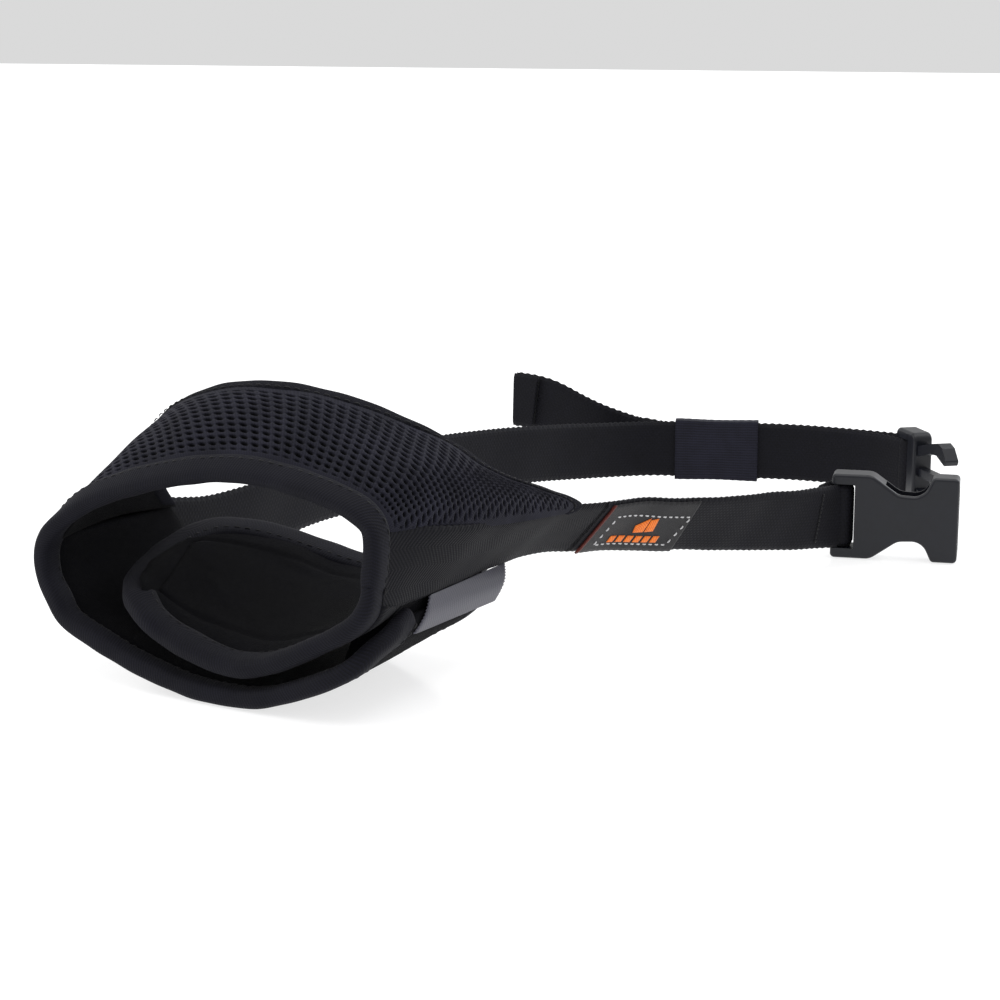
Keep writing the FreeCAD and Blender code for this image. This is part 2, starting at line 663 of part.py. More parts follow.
def fillet(body, name, radius, chosen):
    """A fillet on the edges of the body's last shape that a test chooses."""
    base = body.Tip
    names = [f"Edge{index}" for index, edge in enumerate(base.Shape.Edges, start=1) if chosen(edge)]
    feature = body.newObject("PartDesign::Fillet", name)
    feature.Base = (base, names)
    feature.setExpression("Radius", radius)
    doc.recompute()
    return feature


def runs_across(edge):
    """Whether an edge runs straight through the buckle's thickness."""
    ends = edge.Vertexes[0].Point, edge.Vertexes[-1].Point
    return abs(ends[0].x - ends[1].x) < 1e-6 and abs(ends[0].z - ends[1].z) < 1e-6


def add_bar(body, prefix, centre):
    """A round webbing bar between a buckle's two rails."""
    sketch = new_sketch(body, prefix + "_bar_circle", "XY_Plane")
    sketch.addGeometry(Part.Circle(Vector(size(centre), 0, 0), Vector(0, 0, 1), size("bar_radius")))
    radius = sketch.addConstraint(Sketcher.Constraint("Radius", 0, size("bar_radius")))
    sketch.setExpression(f"Constraints[{radius}]", "Sizes.bar_radius")
    place = sketch.addConstraint(Sketcher.Constraint("DistanceX", -1, 1, 0, 3, size(centre)))
    sketch.setExpression(f"Constraints[{place}]", f"Sizes.{centre}")
    sketch.addConstraint(Sketcher.Constraint("PointOnObject", 0, 3, -1))
    sketch.setExpression("AttachmentOffset.Base.z", "Sizes.window_margin")
    bar = body.newObject("PartDesign::Pad", prefix + "_bar")
    bar.Profile = sketch
    bar.setExpression("Length", "Sizes.buckle_height - 2 * Sizes.window_margin")
    doc.recompute()


def place_body(body, buckle):
    """Put a buckle body at its place on the table and turn it to its heading."""
    turn = FreeCAD.Rotation(Vector(0, 0, 1), size(buckle + "_yaw"))
    body.Placement = FreeCAD.Placement(Vector(size(buckle + "_left"), size(buckle + "_back"), 0), turn)
    body.setExpression("Placement.Base.x", f"Sizes.{buckle}_left")
    body.setExpression("Placement.Base.y", f"Sizes.{buckle}_back")


def make_socket():
    """The socket half: waisted shell, open mouth with side windows, and the bar for the sewn loop."""
    body = doc.addObject("PartDesign::Body", "buckle_socket")
    body.Label = "buckle_socket"
    top = [(along, f"buckle_height - ( {up} )") for along, up in reversed(SOCKET_OUTLINE)]
    outline = polygon_sketch(body, "socket_outline", "XZ_Plane", SOCKET_OUTLINE + tuple(top))
    pad(body, outline, "socket_block", "socket_thick")
    shoulder, length = size("socket_shoulder"), size("socket_length")

    def at(edge, low, high):
        return runs_across(edge) and low < edge.Vertexes[0].Point.x < high

    fillet(body, "shoulder_round", "5", lambda edge: at(edge, shoulder - 1.0, length - 9.5))
    fillet(body, "end_round", "Sizes.corner_round", lambda edge: at(edge, -1.0, 1.0) or at(edge, length - 9.0, length + 1.0))
    flat = size("socket_thick") / 2.0 - 0.01
    fillet(body, "edge_round", "Sizes.edge_round",
           lambda edge: min(abs(vertex.Point.y) for vertex in edge.Vertexes) > flat and not runs_across(edge))
    window = polygon_sketch(body, "socket_window", "XZ_Plane", rectangle(
        "0 - 1", "bar_window", "window_margin", "buckle_height - window_margin"))
    pocket(body, window, "socket_bar_window", "Sizes.socket_thick + 2", True)
    mouth = polygon_sketch(body, "socket_mouth", "YZ_Plane", rectangle(
        "0 - mouth_wide / 2", "mouth_wide / 2",
        "( buckle_height - mouth_high ) / 2", "( buckle_height + mouth_high ) / 2"))
    mouth.setExpression("AttachmentOffset.Base.z", "Sizes.socket_length")
    pocket(body, mouth, "socket_cavity", "Sizes.mouth_deep", False)
    add_bar(body, "socket", "bar_centre")
    place_body(body, "socket")


def make_plug():
    """The plug half: a frame with the webbing bar, a guide tongue and two sprung latch arms."""
    body = doc.addObject("PartDesign::Body", "buckle_plug")
    body.Label = "buckle_plug"
    outline = polygon_sketch(body, "plug_outline", "XZ_Plane", rectangle("0", "plug_base", "0", "buckle_height"))
    pad(body, outline, "plug_block", "plug_thick")
    fillet(body, "plug_corners", "2 * Sizes.corner_round", runs_across)
    flat = size("plug_thick") / 2.0 - 0.01
    fillet(body, "plug_edges", "Sizes.edge_round",
           lambda edge: min(abs(vertex.Point.y) for vertex in edge.Vertexes) > flat and not runs_across(edge))
    window = polygon_sketch(body, "plug_window", "XZ_Plane", rectangle(
        "0 - 1", "plug_bar + 5.4", "window_margin", "buckle_height - window_margin"))
    pocket(body, window, "plug_bar_window", "Sizes.plug_thick + 2", True)
    tongue = polygon_sketch(body, "tongue_outline", "XZ_Plane", rectangle(
        "plug_base - 1", "plug_base + tongue_length",
        "( buckle_height - tongue_high ) / 2", "( buckle_height + tongue_high ) / 2"))
    pad(body, tongue, "guide_tongue", "tongue_thick")
    add_bar(body, "plug", "plug_bar")
    place_body(body, "plug")


def make_latch_arm(label, upper):
    """One sprung latch arm of the plug."""
    body = doc.addObject("PartDesign::Body", label)
    body.Label = label
    corners = ARM_OUTLINE
    if upper:
        corners = tuple((along, f"buckle_height - {up}") for along, up in ARM_OUTLINE)
    pad(body, polygon_sketch(body, label + "_outline", "XZ_Plane", corners), label + "_block", "arm_thick")
    tip = size("plug_base") + 12.0
    fillet(body, label + "_round", "Sizes.corner_round / 2",
           lambda edge: runs_across(edge) and edge.Vertexes[0].Point.x > tip)
    place_body(body, "plug")


# ---------------------------------------------------------------- build and write

make_top_panel()
make_front_binding()
make_right_wall()
make_inner_flap()
make_side_webbing()
make_chin_flap()
make_left_strap()
make_right_strap()
make_keeper()
make_socket()
make_plug()
make_latch_arm("upper_latch_arm", True)
make_latch_arm("lower_latch_arm", False)
doc.recompute()

HELPERS = ("keeper_outside", "keeper_inside")
nodes = []
for item in doc.Objects:
    if "Invalid" in item.State or "Error" in item.State:
        raise RuntimeError(f"{item.Label} did not compute")
    is_part = item.TypeId in ("PartDesign::Body", "Part::Feature", "Part::Cut", "Part::Box")
    if is_part and item.Label not in HELPERS:
        nodes.append(item)
bad = [node.Label for node in nodes if node.Shape.isNull() or not node.Shape.isValid()]
if bad:
    raise RuntimeError("no valid shape: " + ", ".join(bad))
for node in nodes:
    node.Shape.exportStep(os.path.join("parts", node.Label + ".step"))
    print(f"{node.Label}: {node.Shape.Volume:.0f} mm3, {len(node.Shape.Solids)} solid(s)")
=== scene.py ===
"""Soft loop muzzle: the finished look of every piece, placed on the CAD frame."""

import math
from functools import partialmethod

import bpy
import numpy as np
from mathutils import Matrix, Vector


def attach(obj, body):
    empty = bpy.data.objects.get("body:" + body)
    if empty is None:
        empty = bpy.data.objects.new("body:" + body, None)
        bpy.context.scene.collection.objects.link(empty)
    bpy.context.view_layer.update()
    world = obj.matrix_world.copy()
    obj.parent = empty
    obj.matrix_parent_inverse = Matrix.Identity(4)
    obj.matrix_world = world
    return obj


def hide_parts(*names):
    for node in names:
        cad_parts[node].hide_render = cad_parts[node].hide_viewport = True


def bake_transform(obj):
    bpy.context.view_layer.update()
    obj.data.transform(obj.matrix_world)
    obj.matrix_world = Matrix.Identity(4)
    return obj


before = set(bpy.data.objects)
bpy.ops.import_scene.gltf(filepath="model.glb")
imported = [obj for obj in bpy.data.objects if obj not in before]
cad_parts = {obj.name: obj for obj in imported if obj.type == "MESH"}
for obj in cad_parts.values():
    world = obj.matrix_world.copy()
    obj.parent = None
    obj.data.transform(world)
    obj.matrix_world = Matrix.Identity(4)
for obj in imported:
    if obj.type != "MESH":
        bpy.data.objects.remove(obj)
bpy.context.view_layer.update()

MM = 0.001
TURN = 2 * math.pi

# ------------ sizes, in millimetres

WIDTH = 20.0                # webbing
THICK = 1.8
SETBACK = 22.0              # of the nose opening's plane, at the corner's height
CORNER = 29.0
LEAN = math.tan(math.radians(5.5))
HEM_WIDTH = 8.0
WING_ROUND = 7.0            # radius of the wing's tip
MESH_PITCH = (3.5, 1.95)    # of the air mesh's slits, along and across
SLIT = (1.22, 0.4)          # half length and half width of a slit
SLIT_TILT = 0.22
MESH_TOP = 1.0              # the mesh's outer face above the panel's middle surface
MESH_BOTTOM = 1.7
LINING_BOTTOM = 3.0
RIM_DEPTH = 3.5
RIM_THICK = 2.5
RING_DEPTH = 4.4            # the inner flap's binding is deeper
TABLE_GAP = 2.45            # lowest middle surface of the outer flap
TAPE_THICK = 0.8
STRAP_LOW = 3.5             # lower edge of the straps' level part
BAR_RADIUS = 2.0
BAR_GAP = 0.45
SOCKET_BAR, SOCKET_YAW = (76.8, 200.54), 16.5
PLUG_BAR, PLUG_YAW = (69.33, 285.79), -47.0
LABEL_FACE = 0.5
LABEL_SPAN = (0.4651, 0.658)    # shares of the left band's length
BAND_SPLIT = 79.0           # y where the side webbing ends and the strap begins

# ------------ the shapes' stations, in millimetres

# Top panel: rim (x, z), control point of the curve over the nose, hem.
TOP_PANEL = (
    ((45.4, 47.6), (55.8, 27.1, 40.6), (53.0, 63.6, 37.7)),
    ((43.6, 50.3), (54.4, -1.5, 54.8), (51.5, 61.0, 42.0)),
    ((39.0, 53.0), (51.8, -1.0, 62.0), (48.5, 36.0, 51.0)),
    ((31.0, 55.4), (43.2, -2.0, 67.2), (44.0, 27.3, 57.4)),
    ((20.0, 57.5), (28.0, -4.0, 71.3), (31.5, 19.0, 66.3)),
    ((7.0, 58.6), (12.0, -7.0, 73.7), (15.5, 13.0, 72.6)),
    ((-7.0, 57.3), (-5.0, -8.0, 74.6), (-5.0, 9.5, 75.0)),
    ((-20.0, 54.4), (-19.0, -8.0, 71.0), (-25.0, 9.5, 71.5)),
    ((-31.0, 51.0), (-30.6, -7.5, 66.8), (-41.4, 13.0, 63.0)),
    ((-42.0, 46.4), (-42.6, -7.0, 58.2), (-49.2, 16.0, 53.0)),
    ((-49.0, 41.5), (-50.9, -5.0, 49.2), (-52.5, 20.0, 43.8)),
    ((-53.9, 36.2), (-55.4, 0.0, 39.0), (-54.0, 28.4, 34.9)),
)
# Right side panel: rim (x, z), rear edge.
RIGHT_WALL = (
    ((-54.1, 35.8), (-54.0, 28.6, 34.6)),
    ((-55.7, 31.0), (-54.2, 33.0, 30.0)),
    ((-54.2, 24.0), (-53.2, 34.5, 24.0)),
    ((-51.0, 19.4), (-50.8, 30.0, 19.2)),
)
# Outer chin flap: front edge (x, z, distance behind the rim plane), rear edge.
OUTER_FLAP = (
    ((-48.0, 15.4, 0.0), (-48.0, 28.0, 15.4)),
    ((-39.4, 11.4, 0.0), (-39.4, 28.0, 11.4)),
    ((-27.0, 7.1, 0.0), (-27.0, 28.0, 7.1)),
    ((-14.0, 3.9, 0.0), (-14.0, 28.0, 3.9)),
    ((-4.0, 2.4, 0.0), (-4.0, 28.0, 2.4)),
    ((9.0, 2.35, 0.0), (8.5, 28.5, 2.5)),
    ((16.5, 3.6, 0.0), (16.0, 29.5, 4.2)),
    ((25.2, 6.6, 0.0), (24.2, 30.5, 7.8)),
    ((34.0, 10.4, 0.0), (32.0, 32.0, 12.2)),
    ((40.4, 14.2, 1.5), (37.6, 34.0, 15.7)),
    ((43.0, 17.4, 5.0), (40.8, 36.0, 18.4)),
    ((44.2, 19.3, 9.0), (42.0, 38.0, 20.4)),
    ((44.8, 21.0, 12.5), (42.4, 39.5, 21.8)),
)
FLAP_END = (((44.7, 23.4, 17.0), (42.2, 41.0, 23.0)),)
# Rows of the hook tape from its lower edge up, each from front to rear.
HOOK_TAB = (
    ((45.7, -5.0, 19.2), (43.6, 38.5, 17.6)),
    ((46.3, -2.6, 21.2), (44.0, 41.0, 20.0)),
    ((46.3, 0.2, 23.6), (43.4, 44.0, 22.2)),
    ((45.0, 3.6, 26.6), (41.0, 48.2, 24.8)),
)
# Inner chin flap: rim (x, z), rear edge; then the points round its free tip.
INNER_FLAP = (
    ((45.3, 34.5), (41.0, 44.0, 34.0)),
    ((44.8, 30.0), (38.5, 44.0, 29.5)),
    ((42.0, 25.6), (36.0, 44.0, 25.2)),
    ((36.0, 21.3), (33.0, 43.0, 22.4)),
    ((28.0, 17.0), (28.5, 42.0, 20.4)),
    ((20.0, 13.2), (20.5, 41.0, 19.7)),
    ((11.0, 10.6), (10.0, 40.0, 20.4)),
    ((2.0, 10.6), (-2.0, 37.8, 22.6)),
    ((-8.0, 13.0), (-14.0, 34.8, 26.0)),
    ((-15.5, 15.6), (-25.0, 30.0, 29.2)),
    ((-20.8, 18.6), (-33.2, 23.4, 30.6)),
    ((-23.6, 20.8), (-37.0, 15.8, 29.6)),
    ((-25.5, 22.8), (-38.4, 9.0, 27.6)),
)
INNER_TIP = ((-26.2, -20.3, 21.6), (-31.2, -14.6, 22.9), (-35.2, -7.4, 24.2), (-37.7, 0.8, 25.6))
INNER_TIP_HEART = (-22.0, 5.0, 24.5)    # the binding round the tip faces this point
INNER_TIP_END = ((-30.6, -13.6, 23.7), (-38.0, 2.5, 26.0))
# Gathered corner under the left webbing, and the lining fold below it.
GUSSET = (
    ((47.4, -20.2, 29.5), (44.4, -1.0, 27.4)),
    ((45.2, -20.5, 25.6), (41.4, -5.0, 24.9)),
    ((41.8, -21.0, 22.8), (39.4, -10.0, 22.4)),
    ((37.6, -21.3, 20.6), (36.6, -14.5, 20.6)),
)
LINING_FOLD = (
    ((34.0, -17.0, 13.4), (34.5, -13.0, 19.4)),
    ((39.0, -15.0, 15.4), (38.5, -11.0, 21.6)),
    ((41.6, -12.0, 17.6), (41.4, -8.0, 24.2)),
    ((42.8, -7.0, 19.6), (43.0, -2.0, 26.2)),
    ((42.8, 0.0, 21.6), (43.0, 6.0, 27.0)),
    ((42.0, 12.0, 22.6), (42.2, 18.0, 27.4)),
)
# Webbing runs: the lower edge (x, y, z) and the lean inwards, in degrees.
LEFT_RUN = (
    (47.2, -20.5, 27.9, 0.0), (46.9, -10.0, 27.2, -10.0), (45.9, 0.0, 26.4, -20.5),
    (43.5, 20.0, 25.4, -31.8), (41.9, 40.0, 24.9, -38.9), (41.4, 60.0, 24.0, -42.0),
    (42.3, 76.0, 22.0, -40.5), (43.7, 86.5, 20.3, -38.6), (46.1, 100.0, 18.3, -35.5),
    (51.2, 120.0, 14.6, -33.0), (57.7, 140.0, 11.4, -28.0), (64.4, 160.0, 8.3, -19.0),
    (69.7, 175.0, 6.0, -12.0), (73.6, 186.0, 4.6, -5.0), (76.2, 193.3, 3.7, -0.8),
    (77.5, 196.9, 3.5, 0.0),
)
RIGHT_RUN = (
    (-55.6, -18.5, 20.6, 0.0), (-56.2, 4.0, 19.0, 0.0), (-55.8, 28.0, 16.0, 0.0), (-55.2, 42.0, 13.9, 0.0),
    (-54.6, 60.0, 13.5, 0.0), (-54.2, 78.0, 14.3, 0.0), (-54.3, 90.0, 15.2, 0.0), (-54.4, 112.0, 15.3, 0.0),
    (-53.3, 165.0, 12.0, 0.0), (-46.5, 212.0, 8.5, 0.0), (-37.5, 246.0, 5.2, 0.0), (-31.0, 261.0, 4.0, 0.0),
    (-23.0, 270.6, 3.5, 0.0), (-9.7, 275.9, 3.5, 0.0), (3.7, 281.1, 3.5, 0.0), (17.0, 286.4, 3.5, 0.0),
    (30.0, 289.3, 3.5, 0.0), (44.0, 290.2, 3.5, 0.0), (56.0, 288.6, 3.5, 0.0), (66.9, 283.5, 3.5, 0.0),
)
KEEPER_RUN = ((-23.0, 270.6), (17.0, 286.4))
PLUG_RETURN = ((69.7, 290.3), (63.5, 292.3), (54.5, 292.7), (44.0, 292.6), (30.2, 291.6))
TAIL = (
    (-28.4, 272.5, 4.2, 0.0), (-32.5, 271.9, 4.5, 1.0), (-39.0, 270.3, 6.1, 2.0), (-48.0, 268.2, 9.3, 4.0),
    (-60.0, 267.0, 14.1, 4.0), (-69.0, 266.5, 17.3, 2.0), (-79.0, 266.0, 18.2, 0.0),
)
SOCKET_RETURN = ((73.5, 202.5), (72.7, 198.6), (72.5, 193.0))
# On the label, as shares of its length and width: the stitched border and the plain mark.
STITCH_CORNERS = ((0.13, 0.16), (0.164, 0.74), (0.985, 0.70), (0.90, 0.15), (0.13, 0.16))
MARK_SHAPES = (
    ((0.47, 0.38), (0.45, 0.52), (0.56, 0.68), (0.57, 0.40)),
    ((0.58, 0.40), (0.57, 0.64), (0.64, 0.68), (0.67, 0.42)),
)
MARK_ROW = (0.265, 0.09, 0.065, 0.19, 0.32)     # start, pitch, length, bottom, top


# ------------ curves and grids

def front_point(x, z):
    """A point of the nose opening's leaning plane."""
    return (x, -SETBACK + (z - CORNER) * LEAN, z)


def flap_front(station):
    """A point of the outer chin flap's front edge."""
    x, z, back = station
    return np.array(front_point(x, z)) + (0.0, back, 0.0)


def running(steps):
    return np.concatenate([[0.0], np.cumsum(steps)])


def run_of(points):
    """Length along a line of points, at each of them."""
    return running(np.linalg.norm(np.diff(points[:, :3], axis=0), axis=1))


def resampled(points, run, want):
    """Points at wanted lengths along a line."""
    return np.stack([np.interp(want, run, points[:, k]) for k in range(points.shape[1])], axis=1)


def knots_of(points):
    """Spline knots between even and chord-length spacing."""
    steps = np.diff(run_of(points))
    return running(np.sqrt(steps) * np.sqrt(steps.mean()))


def smooth(points, knots):
    """A natural cubic spline through points at these knots."""
    p = np.asarray(points, float)
    n = len(knots)
    h = np.diff(knots)
    a = np.eye(n)
    b = np.zeros_like(p)
    for i in range(1, n - 1):
        a[i, i - 1:i + 2] = h[i - 1], 2 * (h[i - 1] + h[i]), h[i]
        b[i] = 6 * ((p[i + 1] - p[i]) / h[i] - (p[i] - p[i - 1]) / h[i - 1])
    m = np.linalg.solve(a, b)

    def at(s):
        i = np.clip(np.searchsorted(knots, s, side="right") - 1, 0, n - 2)
        u, w, d = (s - knots[i])[:, None], (knots[i + 1] - s)[:, None], h[i][:, None]
        bend = (m[i] * w ** 3 + m[i + 1] * u ** 3) / (6 * d)
        return bend + (p[i] / d - m[i] * d / 6) * w + (p[i + 1] / d - m[i + 1] * d / 6) * u
    return at


def even(points, count):
    """Evenly spaced points on the smooth curve through the points; extra columns are carried along."""
    p = np.asarray(points, float)
    knots = knots_of(p)
    at = smooth(p, knots)
    fine = at(np.linspace(0, knots[-1], 40 * len(p)))
    run = run_of(fine)
    return resampled(fine, run, np.linspace(0, run[-1], count))


def unit(v):
    return v / np.maximum(np.linalg.norm(v, axis=-1, keepdims=True), 1e-12)


def slopes(points):
    return unit(np.gradient(points, axis=0))


def grid_normals(grid):
    """Unit normals of an (m, n, 3) grid."""
    along = np.gradient(grid, axis=0)
    across = np.gradient(grid, axis=1)
    return unit(np.cross(along, across))


def distances(grid, axis):
    """Running length along one axis of a grid, averaged over the other."""
    return running(np.linalg.norm(np.diff(grid, axis=axis), axis=-1).mean(axis=1 - axis))


def cloth_lengths(grid):
    """Running lengths along and across a grid, as a column and a row."""
    return distances(grid, 0)[:, None], distances(grid, 1)[None, :]


def way(grid, row, column, axis):
    """1 where the grid's normal at a place points up an axis, or -1."""
    return 1.0 if grid_normals(grid)[row, column, axis] > 0 else -1.0


def raised(grid, amount):
    return grid + grid_normals(grid) * amount


def ripple(u, v, amount, long, seed=0.0):
    """Slow unevenness of sewn cloth."""
    w = TURN / long
    return amount * (np.sin(w * u + 1.3 * seed + 0.7 * np.sin(w * 0.43 * v + seed)) * 0.6
                     + np.sin(w * 1.71 * u - w * 0.9 * v + 2.1 * seed) * 0.4)


def rippled(grid, amount, long, seed):
    u, v = cloth_lengths(grid)
    return raised(grid, ripple(u, v, amount, long, seed)[..., None])


def sample(grid, along, up):
    """Points of a grid at shares of its length and width."""
    m, n = grid.shape[:2]
    i = np.clip(along, 0, 1) * (m - 1)
    j = np.clip(up, 0, 1) * (n - 1)
    i0, j0 = np.minimum(i.astype(int), m - 2), np.minimum(j.astype(int), n - 2)
    fi, fj = (i - i0)[..., None], (j - j0)[..., None]
    return ((grid[i0, j0] * (1 - fj) + grid[i0, j0 + 1] * fj) * (1 - fi)
            + (grid[i0 + 1, j0] * (1 - fj) + grid[i0 + 1, j0 + 1] * fj) * fi)


def quad_patch(grid, corners, steps):
    """A grid on another grid, between four corners given as shares of its length and width."""
    a, b, c, d = (np.array(corner, float) for corner in corners)
    s = np.linspace(0, 1, steps[0])[:, None, None]
    t = np.linspace(0, 1, steps[1])[None, :, None]
    place = (a * (1 - s) + d * s) * (1 - t) + (b * (1 - s) + c * s) * t
    return sample(grid, place[..., 0], place[..., 1])


def lofted(edges, rows, across, inset=0.0):
    """A grid between two edge curves, set in from both by some millimetres."""
    a = even([e[0] for e in edges], 30 * len(edges))
    b = even([e[1] for e in edges], 30 * len(edges))
    run = run_of((a + b) / 2)
    want = np.linspace(0, run[-1], rows)
    a, b = resampled(a, run, want), resampled(b, run, want)
    span = np.linalg.norm(b - a, axis=1)[:, None, None]
    share = inset / span + (1 - 2 * inset / span) * np.linspace(0, 1, across)[None, :, None]
    return a[:, None] * (1 - share) + b[:, None] * share


# ------------ meshes

def make_mesh(name, points, faces, corner_uv):
    """A smooth-shaded mesh piece from points in millimetres; its UVs are millimetres of cloth."""
    mesh = bpy.data.meshes.new(name)
    mesh.from_pydata((np.asarray(points) * MM).tolist(), [], np.asarray(faces).tolist())
    mesh.polygons.foreach_set("use_smooth", [True] * len(mesh.polygons))
    layer = mesh.uv_layers.new(name="cloth")
    layer.data.foreach_set("uv", np.asarray(corner_uv, np.float32).ravel())
    mesh.validate()
    piece = bpy.data.objects.new(name, mesh)
    bpy.context.scene.collection.objects.link(piece)
    return piece


def closed_sweep(sections, u, v, cap=True):
    """Points, faces and UVs of a sweep: (m, k, 3) closed loops, u at each loop, v (k + 1) round one."""
    m, k = sections.shape[:2]
    i = np.arange(m - 1)[:, None]
    j = np.arange(k)[None, :]
    follow = (j + 1) % k
    quads = [i * k + j, i * k + follow, (i + 1) * k + follow, (i + 1) * k + j]
    faces = np.stack(quads, axis=-1).reshape(-1, 4)
    us, vs = np.asarray(u), np.asarray(v)
    places = ((i, j), (i, j + 1), (i + 1, j + 1), (i + 1, j))
    corner = [np.stack([us[p] + 0 * j, vs[q] + 0 * i], -1) for p, q in places]
    corner = np.stack(corner, axis=2).reshape(-1, 2)
    if not cap:
        return sections.reshape(-1, 3), faces, corner
    caps, cap_uv = [], []
    for row in (0, m - 1):
        for a in range(k // 2 - 1):
            face = [row * k + a, row * k + a + 1, row * k + k - 2 - a, row * k + k - 1 - a]
            face = face if row else face[::-1]
            caps.append(face)
            cap_uv += [(us[row], vs[index - row * k]) for index in face]
    return sections.reshape(-1, 3), np.concatenate([faces, caps]), np.concatenate([corner, cap_uv])


def tube(name, sections, u, v, cap=True):
    return make_mesh(name, *closed_sweep(sections, u, v, cap))


def round_cloth(width):
    """The v of a loop that goes across a cloth's top and back along its underside."""
    return np.concatenate([width, width[::-1], width[:1]])


def slab_sections(grid, low, high, power=24.0, end_round=0.0):
    """Loops round a cloth grid, from low to high along its normals, with rounded side edges."""
    m, n = grid.shape[:2]
    across = np.linspace(-1, 1, n)
    body = np.sqrt(np.maximum(1 - np.abs(across) ** power, 0.03))[None, :, None]
    if end_round:
        run = distances(grid, 0)
        near = np.minimum(run, run[-1] - run) / end_round
        body = body * np.sqrt(np.clip(1 - (1 - np.minimum(near, 1)) ** 2, 0.05, 1))[:, None, None]
    low = np.broadcast_to(np.asarray(low, float), (m, n))[:, :, None]
    high = np.broadcast_to(np.asarray(high, float), (m, n))[:, :, None]
    middle, half = (low + high) / 2, (high - low) / 2
    normal = grid_normals(grid)
    top = grid + normal * (middle + half * body)
    bottom = grid + normal * (middle - half * body)
    return np.concatenate([top, bottom[:, ::-1]], axis=1)


def slab(name, grid, low, high, power=24.0, end_round=0.0):
    """A closed piece of cloth of some thickness over a grid."""
    sections = slab_sections(grid, low, high, power, end_round)
    return tube(name, sections, distances(grid, 0), round_cloth(distances(grid, 1)))


def band_grid(path, count, across, wave):
    """Grid of a webbing band with woven selvedges, from its lower edge's stations."""
    p = even(path, count)
    lower, lean = p[:, :3], np.radians(p[:, 3:4])
    along = slopes(lower)
    side = unit(np.cross(along, (0.0, 0.0, 1.0)))
    rise = np.cross(side, along)
    up = rise * np.cos(lean) - side * np.sin(lean)
    share = np.linspace(0, 1, across)[None, :, None]
    grid = lower[:, None] + up[:, None] * WIDTH * share
    edge = (np.abs(share[..., 0] * 2 - 1) ** 12)[..., None]
    scallop = np.sin(distances(grid, 0) * TURN / 2.6)[:, None, None] * wave * edge
    return grid + up[:, None] * scallop * np.sign(share - 0.5)


def rim_sections(stations, depth, thick, count, seed):
    """Rounded binding sections along stations of (centre, direction into the cloth)."""
    rows = np.array([list(c) + list(unit(np.array(d, float))) for c, d in stations], float)
    p = even(rows, count)
    centre, inward = p[:, :3], p[:, 3:]
    along = slopes(centre)
    side = unit(np.cross(along, inward))
    deep = np.cross(side, along)
    run = run_of(centre)
    angle = np.linspace(0, TURN, 29)[:-1]
    squarer = 1 + 0.12 * np.sin(2 * angle) ** 2
    a = (np.cos(angle) * squarer)[None, :, None] * depth
    b = (np.sin(angle) * squarer)[None, :, None] * thick
    near_end = np.clip(np.minimum(run, run[-1] - run) / 6.0, 0, 1)
    swell = (0.8 + 0.2 * near_end + ripple(run, 0 * run, 0.03, 17.0, seed))[:, None, None]
    sections = centre[:, None] + deep[:, None] * a * swell + side[:, None] * b * swell
    loop = np.linalg.norm(np.diff(np.stack([a[0, :, 0], b[0, :, 0]], 1), axis=0), axis=1)
    round_it = np.concatenate([[0.0], np.cumsum(loop), [loop.sum() + loop[0]]])
    return sections, run, round_it, (centre, deep, side)


STITCH_RING = 6
STITCH_ROWS = ((0.0, -1.6, 0.35), (0.18, 0.2, 0.9), (0.5, 0.55, 1.0), (0.82, 0.2, 0.9), (1.0, -1.6, 0.35))


def stitches(name, points, normals, length, gap, radius, sink):
    """A row of separate thread stitches along a line, with both ends sunk into the cloth."""
    run = run_of(points)
    total = run[-1]
    count = max(2, int(total / (length + gap)))
    ring, last = STITCH_RING, len(STITCH_ROWS) - 1
    verts, faces = [], []
    for index in range(count):
        start = index * total / count
        base = len(verts)
        for share, height, wide in STITCH_ROWS:
            here, ahead = resampled(points, run, start + share * length + np.array([0.0, 0.1]))
            normal = unit(resampled(normals, run, np.array([start + share * length]))[0])
            step = ahead - here
            along = unit(step) if np.linalg.norm(step) > 1e-6 else unit(points[-1] - points[-2])
            side = unit(np.cross(along, normal))
            here = here + normal * (height * radius - sink)
            for angle in np.arange(ring) * TURN / ring:
                verts.append(here + (side * math.cos(angle) + normal * math.sin(angle)) * radius * wide)
        for row in range(last):
            for step in range(ring):
                a = base + row * ring + step
                b = base + row * ring + (step + 1) % ring
                faces.append([a, b, b + ring, a + ring])
        for row in (0, last):
            r = [base + row * ring + k for k in range(ring)]
            r = r[::-1] if row == 0 else r
            faces.append([r[0], r[1], r[2], r[3]])
            faces.append([r[3], r[4], r[5], r[0]])
    return make_mesh(name, verts, faces, np.zeros((4 * len(faces), 2)))


# ------------ node materials

class Wire:
    """A shader value that takes part in plain arithmetic."""

    def __init__(self, socket):
        self.socket = socket
        self.tree = socket.id_data

    def op(self, kind, *others):
        node = self.tree.nodes.new("ShaderNodeMath")
        node.operation = kind
        for slot, value in zip(node.inputs, (self,) + others):
            if isinstance(value, Wire):
                self.tree.links.new(value.socket, slot)
            else:
                slot.default_value = value
        return Wire(node.outputs[0])

    __add__ = partialmethod(op, "ADD")
    __sub__ = partialmethod(op, "SUBTRACT")
    __mul__ = partialmethod(op, "MULTIPLY")
    sin = partialmethod(op, "SINE")
    pingpong = partialmethod(op, "PINGPONG")
    power = partialmethod(op, "POWER")

    def clamp(self):
        return self.op("MAXIMUM", 0.0).op("MINIMUM", 1.0)


